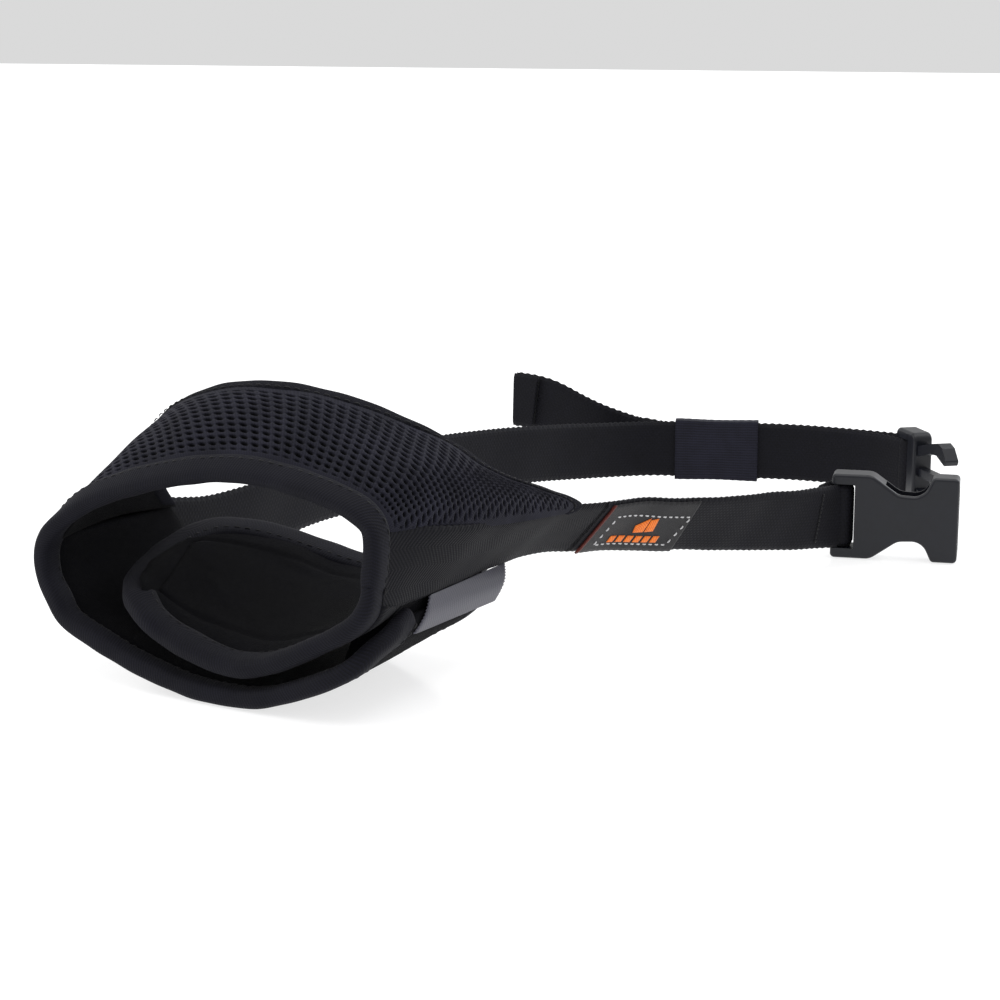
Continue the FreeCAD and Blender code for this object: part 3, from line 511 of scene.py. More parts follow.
class Shader:
    """One material under construction, with cloth coordinates u and v in millimetres."""

    def __init__(self, name):
        self.material = bpy.data.materials.new(name)
        self.material.use_nodes = True
        self.tree = self.material.node_tree
        self.shader = self.tree.nodes["Principled BSDF"]
        uv = self.tree.nodes.new("ShaderNodeUVMap")
        uv.uv_map = "cloth"
        split = self.tree.nodes.new("ShaderNodeSeparateXYZ")
        self.tree.links.new(uv.outputs[0], split.inputs[0])
        self.u, self.v = Wire(split.outputs[0]), Wire(split.outputs[1])
        self.place = self.tree.nodes.new("ShaderNodeNewGeometry").outputs["Position"]

    def set(self, **values):
        for key, value in values.items():
            self.shader.inputs[key.replace("_", " ")].default_value = value
        return self

    def wave(self, length, value):
        """A sine between 0 and 1 along a value, of some wavelength."""
        return (value * (TURN / length)).sin() * 0.5 + 0.5

    def noise(self, scale, detail=2.0, rough=0.5):
        node = self.tree.nodes.new("ShaderNodeTexNoise")
        node.inputs["Scale"].default_value = scale
        node.inputs["Detail"].default_value = detail
        node.inputs["Roughness"].default_value = rough
        self.tree.links.new(self.place, node.inputs["Vector"])
        return Wire(node.outputs["Fac"])

    def attribute(self, name):
        node = self.tree.nodes.new("ShaderNodeAttribute")
        node.attribute_name = name
        return Wire(node.outputs["Fac"])

    def colour(self, share, *stops):
        """Base colour along a ramp of (place, linear colour)."""
        ramp = self.tree.nodes.new("ShaderNodeValToRGB")
        while len(ramp.color_ramp.elements) < len(stops):
            ramp.color_ramp.elements.new(0.5)
        for element, (place, value) in zip(ramp.color_ramp.elements, stops):
            element.position = place
            element.color = (*value, 1.0)
        self.tree.links.new(share.socket, ramp.inputs[0])
        self.tree.links.new(ramp.outputs[0], self.shader.inputs["Base Color"])
        return self

    def rough(self, share, low, high):
        ranged = self.tree.nodes.new("ShaderNodeMapRange")
        ranged.inputs["To Min"].default_value = low
        ranged.inputs["To Max"].default_value = high
        self.tree.links.new(share.socket, ranged.inputs["Value"])
        self.tree.links.new(ranged.outputs[0], self.shader.inputs["Roughness"])
        return self

    def bump(self, height, strength, distance):
        """distance in millimetres for a height of one."""
        node = self.tree.nodes.new("ShaderNodeBump")
        node.inputs["Strength"].default_value = strength
        node.inputs["Distance"].default_value = distance * MM
        self.tree.links.new(height.socket, node.inputs["Height"])
        self.tree.links.new(node.outputs[0], self.shader.inputs["Normal"])
        return self


def grey(value):
    """The cool near-black of the dyed cloth."""
    return (value, value, value * 1.8)


def webbing_material():
    s = Shader("webbing_weave")
    row = (s.u * (TURN / 1.5)).sin()
    column = (s.v * (TURN / 2.0)).sin()
    weave = (row * column) * 0.5 + 0.5
    fine = (s.u * (TURN / 0.75) + s.v * 0.9).sin() * 0.5 + 0.5
    lines = s.wave(1.0, s.v)
    height = weave * 0.55 + fine * 0.2 + lines * 0.35
    tone = height * 0.55 + s.noise(140.0, 4.0, 0.6) * 0.5
    s.colour(tone, (0.15, grey(0.0013)), (0.5, grey(0.0027)), (0.95, grey(0.006)))
    s.rough(tone, 0.62, 0.8)
    s.bump(height + s.noise(2600.0, 2.0) * 0.3, 0.8, 0.14)
    return s.set(Sheen_Weight=0.02, Sheen_Roughness=0.5, Specular_IOR_Level=0.16).material


def twill_material(name, pitch, half_width, level, slant, depth):
    """Herringbone tape: ribs that change slant across the width."""
    s = Shader(name)
    ribs = s.wave(pitch, s.u + s.v.pingpong(half_width) * slant)
    thread = s.wave(0.55, s.v)
    height = ribs * 0.75 + thread * 0.25
    tone = height * 0.6 + s.noise(120.0, 4.0, 0.6) * 0.45
    s.colour(tone, (0.12, grey(0.004 * level)), (0.5, grey(0.0085 * level)), (0.95, grey(0.019 * level)))
    s.rough(tone, 0.66, 0.85)
    s.bump(height + s.noise(2400.0, 2.0) * 0.25, 0.8, depth)
    return s.set(Sheen_Weight=0.02, Sheen_Roughness=0.55, Specular_IOR_Level=0.14).material


def mesh_material():
    s = Shader("air_mesh_knit")
    hole = s.attribute("hole")
    knit = s.wave(0.62, s.u + s.v * 0.5)
    wale = s.wave(0.9, s.u - s.v * 0.8)
    height = knit * 0.5 + wale * 0.5
    # Inside the slits the colour goes near-black. Part of this is the dark lining's own colour seen through
    # them, and part is painted shade of the recess.
    solid = (hole * -1.0 + 1.0).power(1.5)
    tone = ((height * 0.35 + s.noise(110.0, 3.0) * 0.55) * solid).clamp()
    s.colour(tone, (0.0, grey(0.0006)), (0.18, grey(0.004)), (0.55, grey(0.0105)), (0.9, grey(0.021)))
    s.rough(tone, 0.9, 0.68)
    s.bump(height * 0.7 + s.noise(2200.0, 2.0) * 0.3, 0.7, 0.12)
    return s.set(Sheen_Weight=0.03, Sheen_Roughness=0.5, Specular_IOR_Level=0.12).material


def velour_material(name, level=1.0):
    s = Shader(name)
    pile = s.noise(3200.0, 3.0, 0.7)
    cloud = s.noise(70.0, 3.0, 0.55)
    tone = pile * 0.45 + cloud * 0.55
    s.colour(tone, (0.25, grey(0.0006 * level)), (0.55, grey(0.0013 * level)), (0.8, grey(0.0028 * level)))
    s.rough(cloud, 0.85, 0.95)
    s.bump(pile, 0.9, 0.35)
    return s.set(Sheen_Weight=0.02, Sheen_Roughness=0.6, Specular_IOR_Level=0.06).material


def hook_material():
    s = Shader("hook_tape_plastic")
    dots = (s.u * (TURN / 1.5)).sin() * (s.v * (TURN / 1.1)).sin()
    cloud = s.noise(45.0, 3.0)
    tone = dots * 0.12 + cloud * 0.5 + 0.3
    s.colour(tone, (0.2, (0.034, 0.034, 0.047)), (0.8, (0.057, 0.056, 0.076)))
    s.rough(cloud, 0.36, 0.5)
    s.bump(dots * 0.5 + s.noise(900.0, 2.0) * 0.6, 0.5, 0.12)
    return s.set(Specular_IOR_Level=0.4, Coat_Weight=0.1, Coat_Roughness=0.3).material


def plastic_material():
    s = Shader("buckle_satin")
    cloud = s.noise(260.0, 4.0, 0.6)
    fine = s.noise(3800.0, 2.0)
    s.colour(cloud * 0.8 + fine * 0.2, (0.3, (0.0032, 0.0038, 0.0068)), (0.7, (0.006, 0.007, 0.0115)))
    s.rough(cloud, 0.3, 0.42)
    s.bump(cloud * 0.5 + fine * 0.5, 0.4, 0.05)
    return s.set(Specular_IOR_Level=0.32, Coat_Weight=0.05, Coat_Roughness=0.3).material


def thread_material(name, low, high, pitch=0.5):
    s = Shader(name)
    twist = s.wave(pitch, s.u + s.v)
    cloud = s.noise(900.0, 3.0)
    tone = twist * 0.35 + cloud * 0.65
    s.colour(tone, (0.25, low), (0.75, high))
    s.rough(cloud, 0.5, 0.72)
    s.bump(twist * 0.4 + cloud * 0.6, 0.6, 0.1)
    return s.set(Sheen_Weight=0.04, Sheen_Roughness=0.4, Specular_IOR_Level=0.2).material


def label_material():
    s = Shader("label_satin_weave")
    rows = s.wave(0.42, s.u)
    cloud = s.noise(160.0, 3.0)
    tone = rows * 0.4 + cloud * 0.6
    s.colour(tone, (0.2, (0.004, 0.004, 0.005)), (0.8, (0.011, 0.0105, 0.0125)))
    s.rough(cloud, 0.5, 0.65)
    s.bump(rows, 0.6, 0.06)
    return s.set(Sheen_Weight=0.03, Specular_IOR_Level=0.2).material


def elastic_material():
    s = Shader("elastic_rib")
    ribs = s.wave(0.95, s.v)
    cross = s.wave(0.8, s.u)
    tone = ribs * 0.4 + s.noise(200.0, 3.0) * 0.5 + cross * 0.1
    s.colour(tone, (0.15, grey(0.0045)), (0.85, grey(0.016)))
    s.rough(tone, 0.6, 0.8)
    s.bump(ribs * 0.8 + cross * 0.2, 0.8, 0.15)
    return s.set(Sheen_Weight=0.02, Specular_IOR_Level=0.15).material


MATERIALS = {
    "webbing": webbing_material(),
    "side_twill": twill_material("side_webbing_herringbone", 1.25, 5.0, 0.26, 0.85, 0.16),
    "binding": twill_material("binding_ribbed_tape", 0.8, 9.0, 0.5, 0.4, 0.10),
    "hem": velour_material("hem_knit", 4.0),
    "air_mesh": mesh_material(),
    "lining": velour_material("lining_velour"),
    "pad": velour_material("chin_pad_velour", 1.25),
    "hook_tape": hook_material(),
    "plastic": plastic_material(),
    "dark_thread": thread_material("dark_thread", (0.005, 0.005, 0.006), (0.016, 0.016, 0.018)),
    "white_thread": thread_material("white_thread", (0.45, 0.45, 0.46), (0.75, 0.75, 0.76)),
    "orange_thread": thread_material("orange_thread", (0.62, 0.11, 0.012), (0.9, 0.24, 0.03), 0.8),
    "red_thread": thread_material("fold_red_thread", (0.05, 0.008, 0.006), (0.12, 0.02, 0.013), 0.7),
    "label": label_material(),
    "elastic": elastic_material(),
}


def finish(piece, material, body, replaces=(), blend=None):
    """Give a piece its material and hide the CAD nodes that it stands for; attach it to its body, or, with
    a blend, only bake its transform.
    """
    piece.data.materials.clear()
    piece.data.materials.append(MATERIALS[material])
    if blend:
        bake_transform(piece)
    else:
        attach(piece, body)
    if replaces:
        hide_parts(*replaces)
    return piece


def mm(*values):
    return tuple(value * MM for value in values)


FOLD = ("chin_flap", mm(-50.42, 0, 19.69), mm(-49.98, 0, 14.71))
LEFT_BEND = ("left_strap", mm(49, 69, 29), mm(49, 88.2, 29))
RIGHT_BEND = ("right_strap", mm(-54.2, 67.5, 25), mm(-54.2, 86, 25))
TAIL_BEND = ("strap_tail", mm(-20.5, 273.9, 13.5), mm(-33.0, 271.2, 13.5))

# ------------ camera, floor and light

camera_data = bpy.data.cameras.new("camera")
camera_data.lens = 79.2
camera_data.sensor_width = 36.0
camera = bpy.data.objects.new("camera", camera_data)
camera.location = mm(324.6, -444.9, 163.7)
camera.rotation_euler = (math.radians(90 - 12.06), 0.0, math.radians(30.0))
camera_data.clip_start = 0.01
bpy.context.scene.collection.objects.link(camera)
bpy.context.scene.camera = camera
bpy.context.scene.view_settings.view_transform = "Standard"


def make_floor():
    mesh = bpy.data.meshes.new("floor")
    far, level = 8.0, -0.0003
    corners = [(-far, -far, level), (far, -far, level), (far, far, level), (-far, far, level)]
    mesh.from_pydata(corners, [], [(0, 1, 2, 3)])
    floor = bpy.data.objects.new("floor", mesh)
    bpy.context.scene.collection.objects.link(floor)
    material = bpy.data.materials.new("white_table")
    material.use_nodes = True
    shader = material.node_tree.nodes["Principled BSDF"]
    shader.inputs["Base Color"].default_value = (0.45, 0.45, 0.455, 1)
    shader.inputs["Roughness"].default_value = 0.2
    shader.inputs["Specular IOR Level"].default_value = 0.35
    shader.inputs["Emission Color"].default_value = (1.0, 1.0, 1.0, 1)
    shader.inputs["Emission Strength"].default_value = 0.72
    mesh.materials.append(material)


def area_light(name, place, target, size, power, colour=(1, 1, 1)):
    data = bpy.data.lights.new(name, "AREA")
    data.shape = "RECTANGLE"
    data.size, data.size_y = size
    data.energy = power
    data.color = colour
    light = bpy.data.objects.new(name, data)
    light.location = place
    light.rotation_euler = (Vector(target) - Vector(place)).to_track_quat("-Z", "Y").to_euler()
    bpy.context.scene.collection.objects.link(light)


def make_light():
    world = bpy.data.worlds.new("studio")
    bpy.context.scene.world = world
    world.use_nodes = True
    background = world.node_tree.nodes["Background"]
    background.inputs["Color"].default_value = (1.0, 1.0, 1.0, 1)
    background.inputs["Strength"].default_value = 0.7
    target = (0.0, 0.08, 0.03)
    area_light("top_softbox", (0.1, 0.1, 1.3), target, (1.4, 1.4), 11.0)
    area_light("left_softbox", (-1.0, -0.4, 0.7), target, (0.9, 0.9), 4.0)
    area_light("rear_softbox", (0.6, 1.3, 0.8), target, (1.2, 0.8), 7.0, (0.93, 0.95, 1.0))


make_floor()
make_light()


# ------------ nose loop

def panel_grid(rows, across, low, high):
    """The top panel's surface; low and high give each row's ends from its length."""
    front = np.array([front_point(*s[0]) for s in TOP_PANEL])
    crown = np.array([s[1] for s in TOP_PANEL], float)
    hem = np.array([s[2] for s in TOP_PANEL], float)
    knots = knots_of(crown)
    s = np.linspace(0, knots[-1], 12 * rows)
    f, c, h = (smooth(p, knots)(s) for p in (front, crown, hem))
    run = run_of(f * 0.25 + c * 0.5 + h * 0.25)
    want = np.linspace(0, run[-1], rows)
    f, c, h = (resampled(p, run, want)[:, None] for p in (f, c, h))
    t = np.linspace(0, 1, 60)[None, :, None]
    curve = (f * (1 - t) + c * t) * (1 - t) + (c * (1 - t) + h * t) * t
    out = np.zeros((rows, across, 3))
    for i in range(rows):
        run = run_of(curve[i])
        out[i] = resampled(curve[i], run, np.linspace(low(run[-1]), high(run[-1]), across))
    return out


def ramp(distance, start):
    """0 up to a start, then 1 a millimetre on."""
    return np.clip(distance - start, 0, 1)


def slit_relief(u, v):
    """How far each point lies in a slit of the air mesh, from 0 to 1; rows are staggered like bricks."""
    pitch_u, pitch_v = MESH_PITCH
    row = v / pitch_v
    odd = np.floor(row) % 2
    du = (np.mod(u / pitch_u + odd * 0.5 + 0.06 * row, 1.0) - 0.5) * pitch_u
    dv = (np.mod(row, 1.0) - 0.5) * pitch_v
    far = np.sqrt((du / SLIT[0]) ** 2 + ((dv - SLIT_TILT * du) / SLIT[1]) ** 2)
    hole = 1 / (1 + np.exp((far - 1.0) * 8.0))
    plain_edges = ramp(v, 4.6) * ramp(v[:, -1:] - v, 1.6) * ramp(u, 3.0) * ramp(u[-1] - u, 1.5)
    return hole * plain_edges


def make_top_panel():
    rows, across = ((340, 300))
    grid = panel_grid(rows, across, lambda n: 0.0, lambda n: n - HEM_WIDTH + 1.0)
    normal = grid_normals(grid) * way(grid, rows // 2, across // 2, 2)
    u = distances(grid, 0)[:, None]
    v = np.stack([run_of(row) for row in grid])
    hole = slit_relief(u, v)
    swell = ripple(u + 0 * v, v, 0.25, 31.0, 0.6)
    outer = grid + normal * (MESH_TOP + swell - 0.9 * hole)[..., None]
    inner = grid - normal * MESH_BOTTOM
    sections = np.concatenate([outer, inner[:, ::-1]], axis=1)
    piece = tube("air_mesh_panel", sections, u[:, 0], round_cloth(v.mean(axis=0)))
    # The slit share on the outer face also darkens the mesh's colour: the lining's own dark colour with
    # painted shade in the slits.
    layer = piece.data.attributes.new("hole", "FLOAT", "POINT")
    layer.data.foreach_set("value", np.concatenate([hole, 0 * hole], axis=1).ravel().astype(np.float32))
    fix_uv_v(piece, np.concatenate([v, v[:, ::-1]], axis=1).ravel())
    finish(piece, "air_mesh", "muzzle", ["top_mesh_panel"])


def make_nose_lining():
    grid = panel_grid(90, 40, lambda n: 0.0, lambda n: n - 1.0)
    sign = -way(grid, 45, 20, 2)
    u, v = cloth_lengths(grid)
    wave = ripple(u, v, 0.2, 23.0, 2.0)
    piece = slab("nose_lining", grid, sign * 1.8, sign * LINING_BOTTOM + wave)
    finish(piece, "lining", "muzzle", ["top_panel_lining"])


def make_rear_hem():
    hem = panel_grid(190, 17, lambda n: n - HEM_WIDTH, lambda n: n)
    from_tip = np.clip(WING_ROUND - distances(hem, 0), 0, WING_ROUND)
    pull = (WING_ROUND - np.sqrt(WING_ROUND ** 2 - from_tip ** 2)) / HEM_WIDTH
    hem = hem[:, :1] + (hem - hem[:, :1]) * (1 - 0.85 * pull)[:, None, None]
    normal = grid_normals(hem)
    sign = -way(hem, 95, 8, 2)
    u, v = cloth_lengths(hem)
    full = 0.35 * np.sin(np.clip(v / HEM_WIDTH, 0, 1) * math.pi) + ripple(u, v, 0.12, 19.0, 3.0)
    outside, inside = -sign * (MESH_TOP + full), sign * (LINING_BOTTOM + 0.1)
    low, high = np.minimum(outside, inside), np.maximum(outside, inside)
    sections = slab_sections(hem, low, high, 5.0, 1.5)
    piece = tube("rear_hem_band", sections, distances(hem, 0), round_cloth(distances(hem, 1)))
    finish(piece, "hem", "muzzle", ["rear_hem"])
    outward = -normal[4:-3, 3] * sign
    finish(stitches("hem_stitching", hem[4:-3, 3] + outward * 1.45, outward, 1.9, 0.8, 0.17, 0.02),
           "dark_thread", "muzzle")


def fix_uv_v(piece, per_vertex):
    """Use each vertex's own length across the cloth as its v."""
    mesh = piece.data
    loops = np.zeros(len(mesh.loops), np.int32)
    mesh.loops.foreach_get("vertex_index", loops)
    uv = np.zeros(len(mesh.loops) * 2, np.float32)
    mesh.uv_layers[0].data.foreach_get("uv", uv)
    uv = uv.reshape(-1, 2)
    uv[:, 1] = per_vertex[loops]
    mesh.uv_layers[0].data.foreach_set("uv", uv.ravel())


def facing(start, goal):
    """A binding station at a point, its depth turned to another."""
    return start, np.array(goal) - start


def nose_stations():
    """The binding's stations from the flap's free edge, round the fold and the corner, over the nose."""
    flap = [facing(flap_front(f), r) for f, r in OUTER_FLAP + FLAP_END]
    wall = [facing(front_point(*f), r) for f, r in RIGHT_WALL]
    top = [facing(front_point(*s[0]), s[1]) for s in TOP_PANEL[:-1]]
    left = [(front_point(x, z), (0.0, 1.0, 0.0)) for x, z in ((45.8, 41.5), (45.3, 35.3), (45.0, 31.5))]
    return flap[::-1] + wall[::-1] + top[::-1] + left


def make_binding(name, stations, count, replaces, blend, seed, depth=RIM_DEPTH):
    """A rounded binding with a row of stitches along each of its edges."""
    sections, run, round_it, (centre, deep, side) = rim_sections(stations, depth, RIM_THICK, count, seed)
    piece = tube(name, sections, run, round_it)
    finish(piece, "binding", "muzzle", replaces, blend)
    for index, sign in enumerate((1, -1)):
        line = centre + deep * depth * 0.56 + side * sign * RIM_THICK * 0.93
        normal = unit(side * sign + deep * 0.35)
        seam = stitches(f"{name}_stitching_{index + 1}", line, normal, 2.0, 0.9, 0.2, 0.04)
        finish(seam, "dark_thread", "muzzle", (), blend)


def tucked(rear):
    """The flap's rear edge, drawn in where the hook tape covers it."""
    return np.array(rear) - (1.6 * max(0.0, rear[0] - 36.0) / 5.0, 0, 0)


def make_bindings():
    make_binding("front_edge_binding", nose_stations(), 420,
                 ["front_binding", "outer_flap_front_binding"], FOLD, 1.0)
    edge = [facing(front_point(*f), r) for f, r in INNER_FLAP[:-2]]
    tip = [facing(np.array(p), INNER_TIP_HEART) for p in INNER_TIP]
    turn = [facing(np.array(r), INNER_TIP_HEART) for f, r in reversed(INNER_FLAP[-3:])]
    back = [facing(np.array(r), front_point(*f)) for f, r in reversed(INNER_FLAP[:-3])]
    make_binding("inner_flap_edge_binding", edge + tip + turn + back, 330,
                 ["inner_flap_binding"], None, 2.0, RING_DEPTH)
    rear = [(tucked(r), flap_front(f) - r) for f, r in reversed(OUTER_FLAP)]
    wall = [((r[0], r[1] - 1.0, r[2]), (0.0, -1.0, 0.0)) for f, r in reversed(RIGHT_WALL[2:])]
    make_binding("rear_flap_edge_binding", rear + wall, 200, ["outer_flap_rear_binding"], FOLD, 3.0)


def vertex_places(mesh):
    places = np.zeros(len(mesh.vertices) * 3)
    mesh.vertices.foreach_get("co", places)
    return places.reshape(-1, 3)


PAD_CLOTH = {
    "quality": 6, "mass": 0.15, "tension_stiffness": 12.0, "compression_stiffness": 10.0,
    "bending_stiffness": 0.4, "use_pressure": True, "uniform_pressure_force": 4.0,
    "vertex_group_mass": "pinned", "pin_stiffness": 1.0,
}


def settle(piece, cap, pins):
    """A short cloth simulation with air pressure inside, applied and capped in millimetres."""
    before = vertex_places(piece.data)
    group = piece.vertex_groups.new(name="pinned")
    for index, weight in enumerate(pins):
        if weight > 0.01:
            group.add([index], float(weight), "REPLACE")
    cloth = piece.modifiers.new("cloth", "CLOTH")
    for key, value in PAD_CLOTH.items():
        setattr(cloth.settings, key, value)
    cloth.settings.effector_weights.gravity = 0.0
    cloth.collision_settings.use_collision = False
    scene = bpy.context.scene
    for step in range(1, 21):
        scene.frame_set(step)
    moved = piece.evaluated_get(bpy.context.evaluated_depsgraph_get())
    step = vertex_places(moved.to_mesh()) - before
    moved.to_mesh_clear()
    piece.modifiers.remove(cloth)
    scene.frame_set(1)
    far = np.linalg.norm(step, axis=1, keepdims=True)
    step = step * np.minimum(1.0, cap * MM / np.maximum(far, 1e-9))
    piece.data.vertices.foreach_set("co", (before + step).ravel())
    piece.data.update()


def edge_pins(grid, reach=0.12):
    """Pin weights of a slab's vertices: one at its edges, none in the middle."""
    along, up = (np.linspace(0, 1, count) for count in grid.shape[:2])
    a = np.minimum(along, 1 - along)[:, None] / reach
    b = np.minimum(up, 1 - up)[None, :] / reach
    weight = np.clip(1.15 - np.minimum(a, b), 0, 1)
    return np.concatenate([weight, weight[:, ::-1]], axis=1).ravel()


def make_inner_flap():
    edges = [(front_point(*f), r) for f, r in INNER_FLAP] + [INNER_TIP_END]
    grid = lofted(edges, 90, 48, 1.6)
    u, v = cloth_lengths(grid)
    grid = rippled(grid, 0.5, 38.0, 1.0)
    from_edge = np.minimum(v[:, -1:] - v, np.minimum(v, (u[-1:] - u) * 0.9))
    seam = np.exp(-((from_edge - 9.0) / 0.7) ** 2)
    grid = grid - way(grid, 45, 24, 2) * grid_normals(grid) * (0.75 * seam)[..., None]
    half = 1.9 * (1 + ripple(*cloth_lengths(grid), 0.06, 26.0, 4.0))
    piece = slab("inner_chin_pad", grid, -half, half, 10.0)
    settle(piece, 1.4, edge_pins(grid))
    finish(piece, "pad", "muzzle", ["inner_chin_flap"])
    strip = raised(grid[:18, 7:34], way(grid, 4, 10, 0) * 2.4)
    finish(slab("loop_tape_strip", strip, -0.45, 0.45, 12.0),
           "pad", "muzzle", ["loop_tape"])


def make_front_gusset():
    finish(slab("front_corner_gusset", lofted(GUSSET, 40, 24), -0.8, 0.8, 10.0),
           "side_twill", "muzzle")
    grid = rippled(lofted(LINING_FOLD, 50, 20), 0.3, 15.0, 4.0)
    finish(slab("corner_lining_fold", grid, -0.7, 0.7, 10.0),
           "pad", "muzzle")


def make_outer_flap():
    """The right side panel and the outer chin flap, one padded piece that folds between them."""
    wall = [(front_point(*f), r) for f, r in RIGHT_WALL]
    flap = [(flap_front(f), r) for f, r in OUTER_FLAP + FLAP_END]
    grid = lofted(wall + flap, 110, 30, 1.6)
    u, v = cloth_lengths(grid)
    grid = rippled(grid, 0.35, 42.0, 5.0)
    grid[..., 2] = np.maximum(grid[..., 2], TABLE_GAP)
    thicker = 0.85 * np.clip((u - 14.0) / 16.0, 0, 1)
    thinner = 0.9 * np.clip((u - u[-1] + 12.0) / 12.0, 0, 1)
    half = 1.45 + thicker - thinner + 0 * v
    piece = slab("outer_chin_pad", grid, -half, half, 10.0)
    settle(piece, 1.0, edge_pins(grid))
    flatten_at_table(piece)
    finish(piece, "pad", "muzzle", ["outer_chin_flap", "right_side_panel"], FOLD)


def flatten_at_table(piece):
    """What rests on the table is flat there."""
    for vertex in piece.data.vertices:
        if vertex.co.z < 0.0:
            vertex.co.z = 0.0


def make_tape_tab():
    """The stiff hook tape with its toothed ends, and the pile strip behind its upper edge."""
    grid = lofted(HOOK_TAB, 60, 90)
    out = way(grid, 30, 45, 0)
    across = unit(np.gradient(grid, axis=1))
    place = np.linspace(-1, 1, 90)[None, :, None]
    share = np.linspace(0, 1, 60)[:, None, None]
    at_end = np.abs(place) > 0.985
    teeth = np.sign(np.sin(share * 74.0)) * 0.28 * at_end
    grid = grid + across * (teeth + 0.35 * np.sin(share * math.pi) * at_end) * np.sign(place)
    low, high = sorted((0.0, out * TAPE_THICK))
    piece = slab("hook_tape_strip", grid, low, high, 30.0)
    finish(piece, "hook_tape", "chin_flap", ["hook_tape_tab"])
    low, high = sorted((-out * 0.05, -out * TAPE_THICK))
    finish(slab("hook_pile_strip", grid[36:, 3:-3], low, high, 30.0),
           "pad", "chin_flap", ["hook_pile"])


# ------------ webbing

def make_left_webbing():
    """The side webbing and the strap; the strap lies on it and stands a little proud further back."""
    grid = band_grid(LEFT_RUN, 460, 17, 0.12)
    split = int(np.searchsorted(grid[:, 8, 1], BAND_SPLIT))
    grid = rippled(grid, 0.2, 34.0, 6.0)
    finish(slab("left_webbing_side", grid[:split + 6], -THICK, 0.0, 10.0),
           "side_twill", "muzzle", ["left_side_webbing"], LEFT_BEND)
    part = grid[split:]
    lift = 0.9 * np.clip((distances(part, 0) - 50.0) / 40.0, 0, 1)[:, None]
    finish(slab("left_webbing_strap", part, lift - THICK, lift, 10.0),
           "webbing", "muzzle", ["left_strap_webbing"], LEFT_BEND)
    return grid


def round_bar(bar, yaw):
    """The webbing's half turn round a buckle bar."""
    radius = BAR_RADIUS + BAR_GAP + THICK / 2
    middle = math.radians(yaw)
    return [(bar[0] + radius * math.cos(a), bar[1] + radius * math.sin(a))
            for a in np.linspace(middle - math.pi / 2, middle + math.pi / 2, 15)]


def make_socket_loop():
    path = [(x, y, STRAP_LOW) for x, y in round_bar(SOCKET_BAR, SOCKET_YAW) + list(SOCKET_RETURN)]
    share = np.linspace(0, 1, 13)[None, :, None]
    grid = even(path, 90)[:, None] + np.array([0, 0, WIDTH]) * share
    finish(slab("socket_webbing_loop", grid, -THICK / 2, THICK / 2, 10.0),
           "webbing", "left_strap", ["left_strap_loop"])


def make_right_webbing():
    grid = band_grid(RIGHT_RUN, 620, 13, 0.18)
    u, v = cloth_lengths(grid)
    loose = np.clip((u - 40.0) / 60.0, 0, 1) * np.clip((300.0 - u) / 40.0, 0, 1)
    grid = raised(grid, (ripple(u, v, 0.35, 52.0, 8.0) * loose)[..., None])
    piece = slab("right_webbing_strap", grid, -THICK / 2, THICK / 2, 10.0)
    finish(piece, "webbing", "muzzle", ["right_side_webbing", "right_strap_webbing"],
           RIGHT_BEND)


def keeper_axes():
    """Start of the keeper's straight run, its length and its two level directions."""
    start, end = (np.array([x, y, 0.0]) for x, y in KEEPER_RUN)
    along = unit(end - start)
    return start, np.linalg.norm(end - start), along, np.array([-along[1], along[0], 0.0])


def make_right_return():
    """The strap's way back: round the plug's bar, through the keeper and out as the loose tail."""
    start, length, along, across = keeper_axes()
    back = round_bar(PLUG_BAR, PLUG_YAW) + list(PLUG_RETURN)
    for share in (1.0, 0.8, 0.6, 0.4, 0.2, 0.04):
        point = start + along * length * share + across * (THICK + 0.4)
        back.append((point[0], point[1]))
    path = [(x, y, STRAP_LOW, 0.0) for x, y in back] + list(TAIL)
    grid = band_grid(path, 420, 13, 0.18)
    grid = grid[:, ::-1] if grid[200, 0, 2] > grid[200, -1, 2] else grid
    piece = slab("right_webbing_return", grid, -THICK / 2, THICK / 2, 10.0)
    finish(piece, "webbing", "right_strap", ["right_strap_return", "strap_tail_webbing"],
           TAIL_BEND)
    return grid


def make_tail_end(grid):
    """The tail's end folded over once, and its stitch line."""
    run = distances(grid, 0)
    part = grid[int(np.searchsorted(run, run[-1] - 9.5)):]
    sign = -way(part, len(part) // 2, 6, 1)
    finish(slab("tail_folded_end", raised(part, sign * THICK), -THICK / 2, THICK / 2, 10.0),
           "webbing", "strap_tail", ["tail_end_fold"])
    outward = -grid_normals(part)[6] * sign
    line = even(part[6, 1:-1] + outward[1:-1] * 0.95, 40)
    outward = np.repeat(outward[6:7], 40, axis=0)
    finish(stitches("tail_end_stitching", line, outward, 1.6, 0.5, 0.24, 0.02),
           "dark_thread", "strap_tail", ["tail_end_stitch"])


KEEPER_PLACE = 22.6         # its middle along the straight run
KEEPER_HALF = 15.0
KEEPER_WALL = 0.7


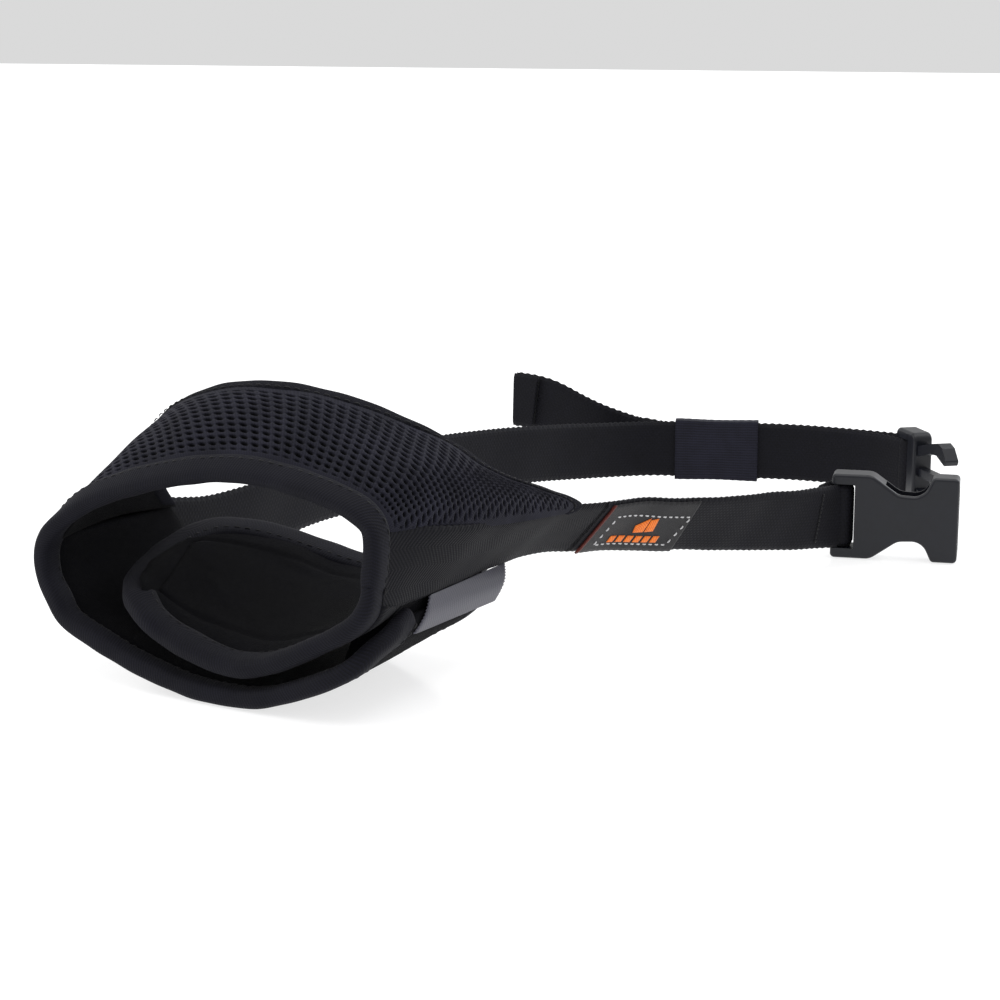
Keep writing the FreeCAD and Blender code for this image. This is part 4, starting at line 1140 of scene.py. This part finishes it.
def make_keeper():
    """An elastic sleeve round both layers of strap, drawn in a little at its middle."""
    start, _, along, across = keeper_axes()
    up = np.array([0.0, 0.0, 1.0])
    high, deep = WIDTH / 2 + 0.9, (2 * THICK + 0.4) / 2 + 0.75
    angle = np.linspace(0, TURN, 73)[:-1]
    a, b = (np.sign(wave) * np.abs(wave) ** 0.16 for wave in (np.cos(angle), np.sin(angle)))
    middle = start + along * KEEPER_PLACE + across * (THICK + 0.4) / 2 + up * (STRAP_LOW + WIDTH / 2)
    where = np.linspace(-KEEPER_HALF, KEEPER_HALF, 46)[:, None, None]
    pinch = 1 - 0.012 * np.cos(where * TURN / 30.0) + 0.004 * np.sin(where * 2.3)
    axis_points = middle + along * where
    rim = across * (b * deep)[None, :, None] + up * (a * high)[None, :, None]
    outer = axis_points + rim * pinch
    inner = outer - unit(rim) * KEEPER_WALL
    shell = np.concatenate([outer, inner[::-1], outer[:1]], axis=0)
    round_it = run_of(np.concatenate([outer[0], outer[0][:1]]))
    piece = tube("elastic_keeper_sleeve", shell, distances(shell, 0), round_it, cap=False)
    merge = piece.modifiers.new("weld", "WELD")
    merge.merge_threshold = 0.00001
    finish(piece, "elastic", "keeper", ["elastic_keeper"])


def make_label(grid):
    start, end = LABEL_SPAN
    patch = quad_patch(grid, ((start, 0.02), (start, 0.98), (end, 0.98), (end, 0.02)), (80, 16))
    out = way(grid, 20, 6, 0)
    face = out * LABEL_FACE
    label = slab("woven_label_patch", patch, min(0.0, face), max(0.0, face), 14.0)
    finish(label, "label", "muzzle", ["woven_label"], LEFT_BEND)

    edge = quad_patch(patch, ((-0.012, 0.0), (-0.012, 1.0), (0.025, 1.0), (0.025, 0.0)), (8, 16))
    finish(slab("label_fold_edge", raised(edge, face), -0.4, 0.3, 6.0, 0.5),
           "red_thread", "muzzle", (), LEFT_BEND)

    mean = unit(grid_normals(patch).reshape(-1, 3).mean(axis=0))
    sides = [np.linspace(a, b, 24) for a, b in zip(STITCH_CORNERS[:-1], STITCH_CORNERS[1:])]
    along, up = np.concatenate(sides).T
    line = sample(patch, along, up) + mean * face
    outward = np.repeat((mean * out)[None], len(line), axis=0)
    finish(stitches("label_border_stitching", line, outward, 1.7, 1.0, 0.26, 0.02),
           "white_thread", "muzzle", ["label_stitching"], LEFT_BEND)
    make_label_mark(patch, face)


def make_label_mark(patch, face):
    """The generic mark: two plain shapes over a row of bars, as one mesh."""
    first, pitch, long, bottom, top = MARK_ROW
    shapes = list(MARK_SHAPES)
    for index in range(6):
        left = first + pitch * index
        shapes.append(((left, bottom), (left, top), (left + long, top), (left + long, bottom)))
    points, faces, corners = [], [], []
    for shape in shapes:
        mark = quad_patch(patch, shape, (9, 9))
        sections = slab_sections(raised(mark, face), -0.12, 0.3, 4.0, 0.7)
        part = closed_sweep(sections, distances(mark, 0), round_cloth(distances(mark, 1)))
        faces.append(part[1] + sum(len(p) for p in points))
        points.append(part[0])
        corners.append(part[2])
    mark = make_mesh("label_plain_mark", *(np.concatenate(parts) for parts in (points, faces, corners)))
    finish(mark, "orange_thread", "muzzle", ["label_emblem"], LEFT_BEND)


def make_bar_tack(grid):
    """Overlapping stitches across the strap, 12.5 mm short of its end."""
    at = 1.0 - 12.5 / distances(grid, 0)[-1]
    line = sample(grid, np.full(30, at), np.linspace(0.1, 0.9, 30))
    normal = grid_normals(grid)[int(at * (len(grid) - 1)), 6] * way(grid, -20, 6, 0)
    outward = np.repeat(normal[None], 30, axis=0)
    finish(stitches("strap_bar_tack_thread", line + normal * 0.9, outward, 1.5, -0.2, 0.4, 0.02),
           "dark_thread", "left_strap", ["strap_bar_tack"])


# ------------ buckle

def make_buckle():
    for node in ("buckle_socket", "buckle_plug", "upper_latch_arm", "lower_latch_arm"):
        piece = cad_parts[node]
        if not piece.data.materials:
            piece.data.materials.append(MATERIALS["plastic"])
        for slot in piece.material_slots:
            slot.material = MATERIALS["plastic"]


make_top_panel()
make_nose_lining()
make_rear_hem()
make_bindings()
make_inner_flap()
make_front_gusset()
make_outer_flap()
make_tape_tab()
left_grid = make_left_webbing()
make_socket_loop()
make_right_webbing()
make_tail_end(make_right_return())
make_keeper()
make_label(left_grid)
make_bar_tack(left_grid)
make_buckle()
